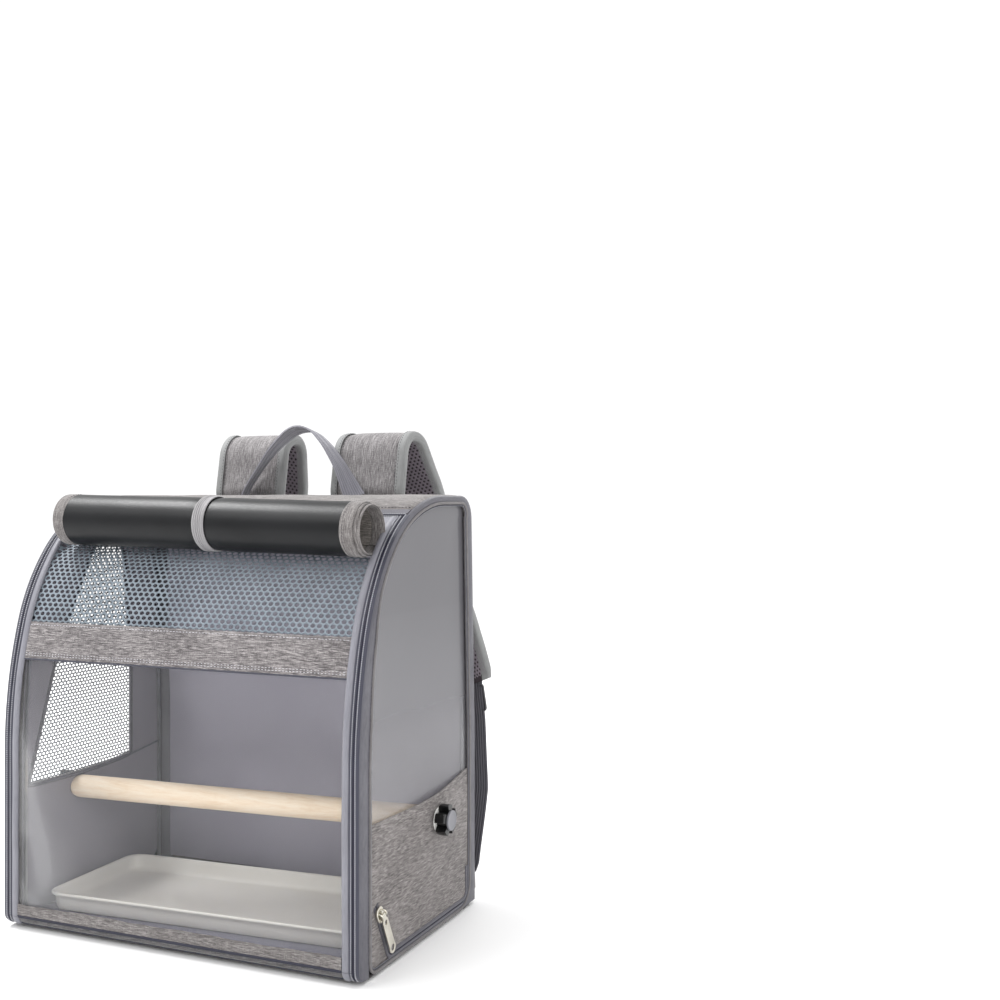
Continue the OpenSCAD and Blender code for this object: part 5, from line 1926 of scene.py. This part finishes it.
def perch_parts():
    mb = MB()
    pr = [(-165.4 - PUSH, 6.0), (-165.0 - PUSH, 7.6), (-163.6 - PUSH, 9.0), (-161.0 - PUSH, 9.8), (-158.0 - PUSH, 10.0)]
    pr += [(x, 10.0 + 0.05 * math.sin(x / 23.0)) for x in np.linspace(-150, 150, 31)]
    pr += [(158.0 + PUSH, 10.0), (161.0 + PUSH, 9.8), (163.6 + PUSH, 9.0), (165.0 + PUSH, 7.6), (165.4 + PUSH, 6.0)]
    lathe_x(mb, pr, 1, 0, 56, axis=True)
    mb.build("perch_dowel", [M["wood"]], "shell", ["perch"], "wood", angle=50)
    mb = MB()
    for s in (1, -1):
        pr = [(169.8, 4.0), (169.8, 9.6), (170.0, 10.0), (171.0, 10.0), (171.25, 9.7), (171.3, 3.4)]
        lathe_x(mb, [(q_[0] + PUSH, q_[1]) for q_ in pr], s, 0, 44)
    mb.build("washer_pair", [M["white"]], "shell", ["washers"], "white_plastic", angle=35)
    for s in (1, -1):
        mb = MB()
        pr = [(171.7, 5.0), (171.7, 8.0), (172.2, 8.3), (172.8, 8.4), (180.2, 8.4), (180.8, 8.2), (181.0, 7.8), (181.0, 2.0)]
        n = 240
        p = np.array(pr)
        a = np.linspace(0, 2 * math.pi, n, endpoint=False)
        # five square-shouldered lobes with deep valleys
        q = np.clip((np.cos(5 * (a - PI2)) + 0.36) / 0.42, 0, 1)
        lobe = q * q * (3 - 2 * q)
        f = 0.86 + 0.66 * lobe
        k = np.where(p[:, 1] > 7.9, 1.0, 0.0) * np.array([0, 0.9, 0.97, 1, 1, 0.97, 0.93, 0])
        R = p[:, 1][:, None] * (1 + (f - 1)[None] * k[:, None])
        X = np.repeat(((p[:, 0] + PUSH) * s)[:, None], n, 1)
        P = np.stack([X, s * SKEW + R * np.cos(a)[None], PZ0 - s * DROP + R * np.sin(a)[None]], -1)
        mb.grid(P, False, True, None, 0, flip=s < 0)
        for q, fl in ((0, s < 0), (-1, s > 0)):
            idx = list(range(n))
            mb.add(P[q], [idx if fl else idx[::-1]], [np.zeros((n, 2))], 0)
        tag = "r" if s > 0 else "l"
        mb.build("star_knob_" + tag, [M["black"]], "knob_right" if s > 0 else "knob_left", ["knob_" + tag], "black_plastic", angle=35)
        mb = MB()
        pr = [(180.9, 3.0), (180.9, 8.0), (181.2, 8.3), (182.2, 8.3), (182.55, 8.05), (182.6, 7.5), (182.35, 6.6), (182.2, 4.0), (182.15, 0.6)]
        lathe_x(mb, [(q_[0] + PUSH, q_[1]) for q_ in pr], s, 0, 40)
        mb.build("knob_cap_" + tag, [M["grey"]], "knob_right" if s > 0 else "knob_left", ["cap_" + tag], "grey_plastic", angle=35)
    assign("perch_screws", M["steel"])


perch_parts()


# =====================================================================
# tray
# =====================================================================
def tray():
    mb = MB()
    x1, y0, y1 = 158.0, -62.0, 62.0
    ct, st = math.cos(RAD(3)), math.sin(RAD(3))
    # rings: (inset, z, corner radius)
    rings = [(16, 7.35, 8), (9.0, 7.1, 9), (5.4, 7.4, 10.5), (4.3, 9.0, 11), (3.4, 15, 12), (2.9, 19.8, 13), (2.6, 20.4, 13.2), (1.2, 20.2, 14.2), (0.35, 20.5, 14.8), (0.0, 21.3, 15), (0.1, 22.2, 15), (0.7, 22.85, 14.7),
             (1.6, 23.0, 14), (2.6, 22.7, 13.4), (3.2, 21.6, 13), (3.6, 19.0, 12.8), (4.6, 13, 12), (5.6, 10.6, 11), (7.2, 9.5, 10), (9.6, 9.05, 9), (14, 9.0, 8), (16.5, 8.8, 7), (50, 8.8, 5)]
    n = 12
    G = []
    for d, z, r in rings:
        r = max(r, 2.0)
        pts = rrect(-x1 + d, x1 - d, y0 + d, y1 - d, r, n)
        # straight sides carry points too
        q = np.array(pts + pts[:1])
        L = cum(q)
        out = []
        for i in range(len(pts)):
            out.append(q[i])
            if (i + 1) % (n + 1) == 0:
                for t in (0.2, 0.4, 0.6, 0.8):
                    out.append(q[i] + (q[i + 1] - q[i]) * t)
        G.append([(p[0] * ct - p[1] * st, p[0] * st + p[1] * ct - 6.0, z) for p in out])
    G = np.array(G)
    # a real moulding is never quite flat
    G[..., 2] += 0.12 * np.sin(G[..., 0] / 60.0) * np.sin(G[..., 1] / 40.0)
    L = cum(np.vstack([G[10], G[10][:1]]))
    v = cum(G[:, 0])
    uv = np.stack(np.meshgrid(v, L, indexing="ij"), -1)
    mb.grid(G, False, True, uv, 0)
    m = G.shape[1]
    idx = list(range(m))
    mb.add(G[0], [idx[::-1]], [G[0][::-1, :2]], 0)
    mb.add(G[-1], [idx], [G[-1][:, :2]], 0)
    return mb.build("tray_moulding", [M["tray"]], "tray", ["tray"], "white_plastic", angle=45, weld=0.01)


tray()


# =====================================================================
# handle
# =====================================================================
def handle():
    mb = MB()
    hz = TOPZ + 0.5
    yc = 71.0 + 11.0
    n = 90
    t = np.linspace(0, 1, n)
    # the arch in the plane y = yc, from foot to foot
    ctrl = np.array([(-59.4, hz - 1.0), (-59.0, hz + 0.8), (-53.5, 373.0), (-44.1, 385.4), (-36.0, 395.6), (-28, 405), (-17.5, 414.2), (-8.1, 421.4), (0.0, 424.8), (7.3, 425.3), (14.0, 423.8), (19.8, 420.8), (32.1, 408.6), (44.7, 391), (53.1, 375.4), (59.0, hz + 0.8), (60.4, hz - 1.0)])
    L = cum(ctrl)
    tt = t * L[-1]
    # smoothed line along the controls
    from numpy import interp
    def smooth(v):
        x = interp(tt, L, v)
        for _ in range(8):
            x[1:-1] = (x[:-2] + 2 * x[1:-1] + x[2:]) / 4
        return x
    X, Z = smooth(ctrl[:, 0]), smooth(ctrl[:, 1])
    C = np.stack([X, np.full(n, yc), Z], 1)
    T = unit(np.gradient(C, axis=0))
    Yv = np.array([0.0, 1.0, 0.0])
    Bn = unit(np.cross(T, Yv))  # in the plane, away from or to the middle
    if Bn[n // 2, 2] < 0:
        Bn = -Bn
    # twist: edge-on at the left foot, turned to face front at the right foot
    tw = np.interp(t, [0, 0.2, 0.4, 0.5, 0.65, 0.85, 1.0], [16, 12, -4, -14, -6, 8, 34])
    for _ in range(10):
        tw[1:-1] = (tw[:-2] + 2 * tw[1:-1] + tw[2:]) / 4
    c, s = np.cos(np.radians(tw))[:, None], np.sin(np.radians(tw))[:, None]
    W = Yv * c + Bn * s
    N = Bn * c - Yv * s
    C[:, 1] += 0
    m = 23
    q = np.linspace(-1, 1, m)
    top = np.stack([q * 10.6, 0.72 + 0.2 * np.cos(q * math.pi * 6) - 0.35 * np.abs(q) ** 6], 1)
    bot = np.stack([q[::-1] * 10.6, -(0.72 + 0.2 * np.cos(q * math.pi * 6) - 0.35 * np.abs(q) ** 6)], 1)
    sec = np.concatenate([bot[::-1], top[::-1]])
    sweep(mb, C, W, N, sec, 0)
    ob = mb.build("handle_webbing", [M["web"]], "handle", ["handle"], "webbing", angle=50)
    return ob


handle()


# =====================================================================
# shoulder straps
# =====================================================================
LS = walk((HD - 4.0, TOPZ - 5.3), 10, [[0, 45], [15, 90], [15, 158], [0, 30], [50, 212], [0, 38], [40, 180], [0, 4.2]])
SX0, SW, ST = 26.0, 76.0, 8.0


def strap_frames():
    """centre line of the pad's inner face in 3D, its width vector, outward normal and width"""
    P, N, W = [], [], []
    xc = SX0 + SW / 2
    top = max(range(len(LS)), key=lambda i: LS[i][1])
    for i, (y, z, h) in enumerate(LS):
        # behind the arch the pad slants outwards on its way down
        x = xc if i <= top else float(np.interp(z, [LS[-1][1], 300, 330, 350, 375, 400, 420], [117.0, 101.0, 86.0, 79.0, 73.0, 68.0, xc]))
        w = SW if i <= top else float(np.interp(z, [LS[-1][1], 350], [70.0, SW]))
        P.append((x, y, z)); N.append((0, -math.cos(RAD(h)), math.sin(RAD(h)))); W.append(w)
    y, z, _ = LS[-1]
    c = np.array([(117.0, z), (135, 240), (148, 215), (157, 196), (159, 191)], float)
    wid = np.array([70.0, 61, 52, 45, 42])
    L = cum(c)
    t = np.linspace(0, L[-1], 26)[1:]
    X, Z, Wd = (np.interp(t, L, v) for v in (c[:, 0], c[:, 1], wid))
    for a, b, w in zip(X, Z, Wd):
        P.append((a, y, b)); N.append((0, 1.0, 0)); W.append(w)
    P, N, W = np.array(P, float), np.array(N, float), np.array(W, float)
    L = cum(P)
    t = np.linspace(0, L[-1], 150)
    f0 = lambda V: np.stack([np.interp(t, L, V[:, k]) for k in range(3)], 1)
    P, N, W = f0(P), unit(f0(N)), np.interp(t, L, W)
    for _ in range(5):
        P[1:-1, 0] = (P[:-2, 0] + 2 * P[1:-1, 0] + P[2:, 0]) / 4
    T = unit(np.gradient(P, axis=0))
    A = unit(np.cross(T, N))
    A[A[:, 0] < 0] *= -1
    A, N = np.array(A, float), np.array(N, float)
    # even out directions at the change
    for _ in range(4):
        A[1:-1] = unit(A[:-2] + 2 * A[1:-1] + A[2:])
        N[1:-1] = unit(N[:-2] + 2 * N[1:-1] + N[2:])
    # even spacing
    L = cum(P)
    t = np.linspace(0, L[-1], 120)
    f = lambda V: np.stack([np.interp(t, L, V[:, k]) for k in range(3)], 1)
    return f(P), unit(f(A)), unit(f(N)), np.interp(t, L, np.array(W, float)), t


SP, SAx, SN, SWd, ST_ = strap_frames()


def shoulder_strap(side):
    tag = "r" if side > 0 else "l"
    P, A, N, W = SP.copy(), SAx.copy(), SN.copy(), SWd
    for v in (P, A, N):
        v[:, 0] *= side
    n = len(P)
    t = ST_
    # ends taper thin where they are sewn
    endf = np.clip(t / 10.0, 0.15, 1) ** 0.5 * np.clip((t[-1] - t) / 8.0, 0.2, 1) ** 0.5
    m = 25
    q = np.linspace(-1, 1, m)
    # pad body
    mb = MB()
    rows = []
    for i in range(n):
        w = W[i] / 2 - 2.0
        cr = 1 - np.abs(q) ** 3.2
        # sewn channel a little inside each edge
        seam = 1 - 0.75 * np.exp(-((np.abs(q) * w - (w - 7.5)) / 1.3) ** 2)
        wr = 0.35 * math.sin(t[i] / 6.1) * math.sin(t[i] / 17.0) * cr
        bend = 0.5 * np.sin(t[i] / 4.2 + q * 2) * math.exp(-((t[i] - 66) / 22) ** 2) * cr
        top = np.stack([q * w, ST - 1.6 + (1.9 * cr * seam + wr + bend * 0.5) * endf[i]], 1)
        bot = np.stack([q[::-1] * w, 0.6 + 0 * q], 1)
        top[:, 1] = 0.6 + (top[:, 1] - 0.6) * endf[i]
        rows.append(np.concatenate([bot[::-1] if False else bot, top]))
    R = np.array(rows)
    if side > 0:
        sweep(mb, P, A, N, R[:, ::-1], 0)
    else:
        sweep(mb, P, A, N, R, 0)
    for o in (-1, 1):
        off = (W / 2 - 9.5) * o
        line = P + A * off[:, None] + N * (ST - 0.9) * endf[:, None]
        Q, T, tt = along(line[3:-3], 3.2)
        i = np.searchsorted(cum(line[3:-3]), tt).clip(1, n - 7) + 3
        pills(mb, Q, T, N[i], 2.1, 0.55, 0.3, 1)
    body = mb.build("strap_pad_" + tag, [M["heather_strap"], M["thread_dk"]], "shell", ["strap_" + tag], "heather", angle=60)

    # bound edges
    mb = MB()
    sec = []
    for a in np.linspace(90, 270, 9):
        sec.append((4.6 * math.cos(RAD(a)) * 0.62, (ST / 2 + 0.7) * math.sin(RAD(a))))
    outer = [(5.2, ST / 2 + 0.75)] + sec + [(5.2, -ST / 2 - 0.75)]
    inner = [(5.2, -ST / 2 + 0.1), (-0.6, -ST / 2 + 0.1), (-0.6, ST / 2 - 0.1), (5.2, ST / 2 - 0.1)]
    sec = np.array(outer + inner)
    for o in (-1, 1):
        C = P + A * (o * (W / 2 - 2.6))[:, None] + N * (ST / 2 + 0.1)
        S = np.repeat(sec[None], n, 0).copy()
        S[..., 0] *= -o
        S[..., 1] *= (0.35 + 0.65 * endf)[:, None]
        C = C + N * ((endf - 1) * ST / 2 * 0.9)[:, None]
        fl = (o < 0) == (side > 0)
        sweep(mb, C, A, N, S[:, ::-1] if fl else S, 0)
        line = C + A * (o * -3.9) + N * ((ST / 2 + 0.72) * (0.35 + 0.65 * endf))[:, None]
        Q, T, tt = along(line[2:-2], 3.0)
        i = np.searchsorted(cum(line[2:-2]), tt).clip(1, n - 5) + 2
        pills(mb, Q, T, N[i], 1.9, 0.5, 0.3, 1)
    mb.build("strap_binding_" + tag, [M["bind"], M["thread_dk"]], "shell", ["strap_bind_" + tag], "tape", angle=50)

    # net on the wearer's side, over a dark backing
    mb = MB()
    Lt = t[-1]

    def fn(u, v):
        v = np.clip(v, 0, Lt)
        c = np.stack([np.interp(v, t, P[:, k]) for k in range(3)], -1)
        a = np.stack([np.interp(v, t, A[:, k]) for k in range(3)], -1)
        nn = unit(np.stack([np.interp(v, t, N[:, k]) for k in range(3)], -1))
        w = np.interp(v, t, W)
        x = u * (w / SW)
        return c + a * x[..., None] * 1.0 - nn * 0.35, -nn

    u_lim = SW / 2 - 7.0
    net(mb, fn, -u_lim, u_lim, 3.0, Lt - 5.0, a=4.6, b=3.2, ru=1.15, rv=1.05, h=0.42)
    # backing cloth
    x = np.linspace(-1, 1, 12)
    Pf = P[:, None] + A[:, None] * (x[None, :, None] * (W / 2 - 4.5)[:, None, None]) - N[:, None] * -0.05
    Pb = P[:, None] + A[:, None] * (x[None, :, None] * (W / 2 - 4.5)[:, None, None]) + N[:, None] * 0.55
    uv = np.stack(np.meshgrid(t, x * 30, indexing="ij"), -1)
    if side > 0:
        shell(mb, Pf, Pb, uv, 1)
    else:
        shell(mb, Pf[:, ::-1], Pb[:, ::-1], uv[:, ::-1], 1)
    mb.build("strap_net_" + tag, [M["mesh_strap"], M["foam"]], "shell", ["strap_mesh_" + tag], "mesh", angle=75)


for sd in (1, -1):
    shoulder_strap(sd)


WY = LS[-1][0] + 4.0


def lower_hardware(side):
    tag = "r" if side > 0 else "l"
    # ladder-lock
    mb = MB()
    c, s = math.cos(RAD(-9)), math.sin(RAD(-9))
    # local x across, y up, z towards the front
    Mx = local((158 * side, WY, 178.0), (c * side, 0, -s), (s * side, 0, c), (0, -1, 0))
    outer = rrect(-15, 15, -12, 13, 3.2)
    holes = [rrect(-11.2, 11.2, y - 1.9, y + 1.9, 0.9, 3) for y in (-7, 0.5, 8)]
    V, F = plate(outer, holes, 3.6, 0.9)
    # the frame bows a little
    V[:, 2] += 0.012 * V[:, 0] ** 2 - 0.6
    put(mb, V, F, Mx, 0)
    for y in (-3.2, 4.3):
        Q = np.array([[x, y, 0.6 + 0.012 * x * x + 0.4] for x in np.linspace(-10.8, 10.8, 12)])
        V, F = tube_pts(Q, 1.1, 10)
        put(mb, V, F, Mx, 0)
    mb.build("ladder_lock_" + tag, [M["lock"]], "shell", ["lock_" + tag], "black_plastic", angle=35)
    # webbing: from the lock down to the tab
    mb = MB()
    ctrl = np.array([(WY - 2.0, 196.0), (WY - 3.6, 186), (WY - 3.2, 172), (WY - 3.5, 150), (WY - 3.8, 128), (HD + 14.0, 104), (HD + 12.2, 84), (HD + 9.6, 66), (HD + 6.6, 48), (HD + 5.2, 36), (HD + 4.6, 26)])
    L = cum(ctrl)
    t = np.linspace(0, L[-1], 70)
    Y, Z = (np.interp(t, L, ctrl[:, k]) for k in (0, 1))
    for v in (Y, Z):
        for _ in range(8):
            v[1:-1] = (v[:-2] + 2 * v[1:-1] + v[2:]) / 4
    X = side * np.interp(Z, [15, 34, 98, 161, 196], [154.0, 160.5, 165.2, 162.5, 159.0])
    C = np.stack([X, Y, Z], 1)
    T = unit(np.gradient(C, axis=0))
    tw = 10 * np.sin(t / t[-1] * math.pi)
    X0 = np.array([1.0, 0, 0])
    Nn = unit(np.cross(T, X0))
    if Nn[30, 1] < 0:
        Nn = -Nn
    cc, ss = np.cos(np.radians(tw))[:, None], np.sin(np.radians(tw))[:, None] * side
    A = X0 * cc + Nn * ss
    Bv = Nn * cc - X0 * ss
    q = np.linspace(-1, 1, 15)
    top = np.stack([q * 10.8, 0.75 + 0.12 * np.cos(q * math.pi * 5) - 0.3 * np.abs(q) ** 6], 1)
    bot = np.stack([q[::-1] * 10.8, -0.75 + 0 * q], 1)
    sec = np.concatenate([bot, top])
    sweep(mb, C, A, Bv, sec, 0)
    mb.build("strap_webbing_" + tag, [M["web_dk"]], "shell", ["web_" + tag], "dark_webbing", angle=50)
    # tab at the lower rear corner: two layers, bound
    mb = MB()
    poly = np.array([(HW - 30, 41.0), (HW - 2, 41), (HW - 1, 12), (HW - 8, 6), (HW - 26, 10)])
    poly[:, 0] *= side
    rp = round_poly(poly, 2.5, 5)
    cx = rp.mean(0)
    lv = [0.0, 0.3, 0.6, 0.85, 0.95, 1.0]
    G = cx + (rp[None] - cx) * np.array(lv)[:, None, None]
    th = np.array([1.9, 1.9, 1.8, 1.5, 1.1, 0.5])
    Pf = np.stack([G[..., 0], HD + 2.0 + th[:, None] + 0 * G[..., 0], G[..., 1]], -1)
    Pb = np.stack([G[..., 0], HD + 1.2 + 0 * G[..., 0], G[..., 1]], -1)
    uv = np.concatenate([G, G[:, :1]], 1)
    ccw = side < 0
    mb.grid(Pf, False, True, uv, 0, flip=not ccw)
    mb.grid(Pb, False, True, uv, 0, flip=ccw)
    k = len(rp)
    V = np.concatenate([Pf[-1], Pb[-1]])
    F = [[i, (i + 1) % k, k + (i + 1) % k, k + i] for i in range(k)]
    mb.add(V, F if not ccw else [f[::-1] for f in F], [np.zeros((4, 2)) for _ in F], 0)
    line = np.stack([G[3][:, 0], np.full(k, HD + 3.5), G[3][:, 1]], 1)
    Q, T, tt = along(np.vstack([line, line[:1]]), 3.0)
    pills(mb, Q, T, np.tile([0, 1.0, 0], (len(Q), 1)), 1.9, 0.5, 0.3, 1)
    mb.build("strap_tab_" + tag, [M["heather_side"], M["thread_dk"]], "shell", ["web_tab_" + tag], "heather", angle=50, weld=0.01)


for sd in (1, -1):
    lower_hardware(sd)


# =====================================================================
# stage, lights, camera
# =====================================================================
def stage():
    n = Nodes("floor", rough=0.55, spec=0.2)
    n.color(lin(253, 253, 253))
    me = bpy.data.meshes.new("floor")
    me.from_pydata([(-14, -14, 0), (14, -14, 0), (14, 14, 0), (-14, 14, 0)], [], [(0, 1, 2, 3)])
    me.materials.append(n.m)
    ob = bpy.data.objects.new("floor", me)
    bpy.context.scene.collection.objects.link(ob)
    w = bpy.data.worlds.new("studio")
    bpy.context.scene.world = w
    w.use_nodes = True
    bg = w.node_tree.nodes["Background"]
    bg.inputs["Color"].default_value = (1, 1, 1, 1)
    bg.inputs["Strength"].default_value = 1.06

    def area(name, loc, target, size, power, sy=None):
        li = bpy.data.lights.new(name, "AREA")
        li.shape = "RECTANGLE"
        li.size, li.size_y = size, sy or size
        li.energy = power
        o = bpy.data.objects.new(name, li)
        o.location = loc
        o.rotation_mode = "QUATERNION"
        o.rotation_quaternion = (Vector(target) - Vector(loc)).to_track_quat("-Z", "Y")
        bpy.context.scene.collection.objects.link(o)

    area("key", (-1.1, -1.5, 1.9), (0, 0, 0.2), 1.2, 15)
    area("fill", (1.9, -1.3, 1.1), (0, 0, 0.2), 1.6, 7)
    area("rim", (0.3, 1.8, 1.6), (0, 0, 0.25), 1.4, 12)
    area("top", (-1.18, -0.06, 1.97), (0, -0.08, 0.34), 0.9, 36, 0.4)


stage()
sc = bpy.context.scene
sc.view_settings.view_transform = "Standard"

cam = bpy.data.cameras.new("photo_camera")
cam.lens = 1213 * 36 / 1000
cam.sensor_width = 36
cam.clip_start, cam.clip_end = 0.01, 60
co = bpy.data.objects.new("photo_camera", cam)
yaw, pitch = RAD(22.75), RAD(-0.05)
fwd = Vector((-math.sin(yaw) * math.cos(pitch), math.cos(yaw) * math.cos(pitch), -math.sin(pitch)))
co.location = (0.609, -0.885, 0.358)
co.rotation_mode = "QUATERNION"
co.rotation_quaternion = fwd.to_track_quat("-Z", "Y")
sc.collection.objects.link(co)
sc.camera = co

bpy.context.view_layer.update()


def declare_sheets():
    """works out the lowest and highest z of the side outline along y; nothing is kept"""
    y = np.linspace(LOOP[:, 0].min() + 1, LOOP[:, 0].max() - 1, 200)
    lo, hi = loop_z_range(LOOP, y)


declare_sheets()
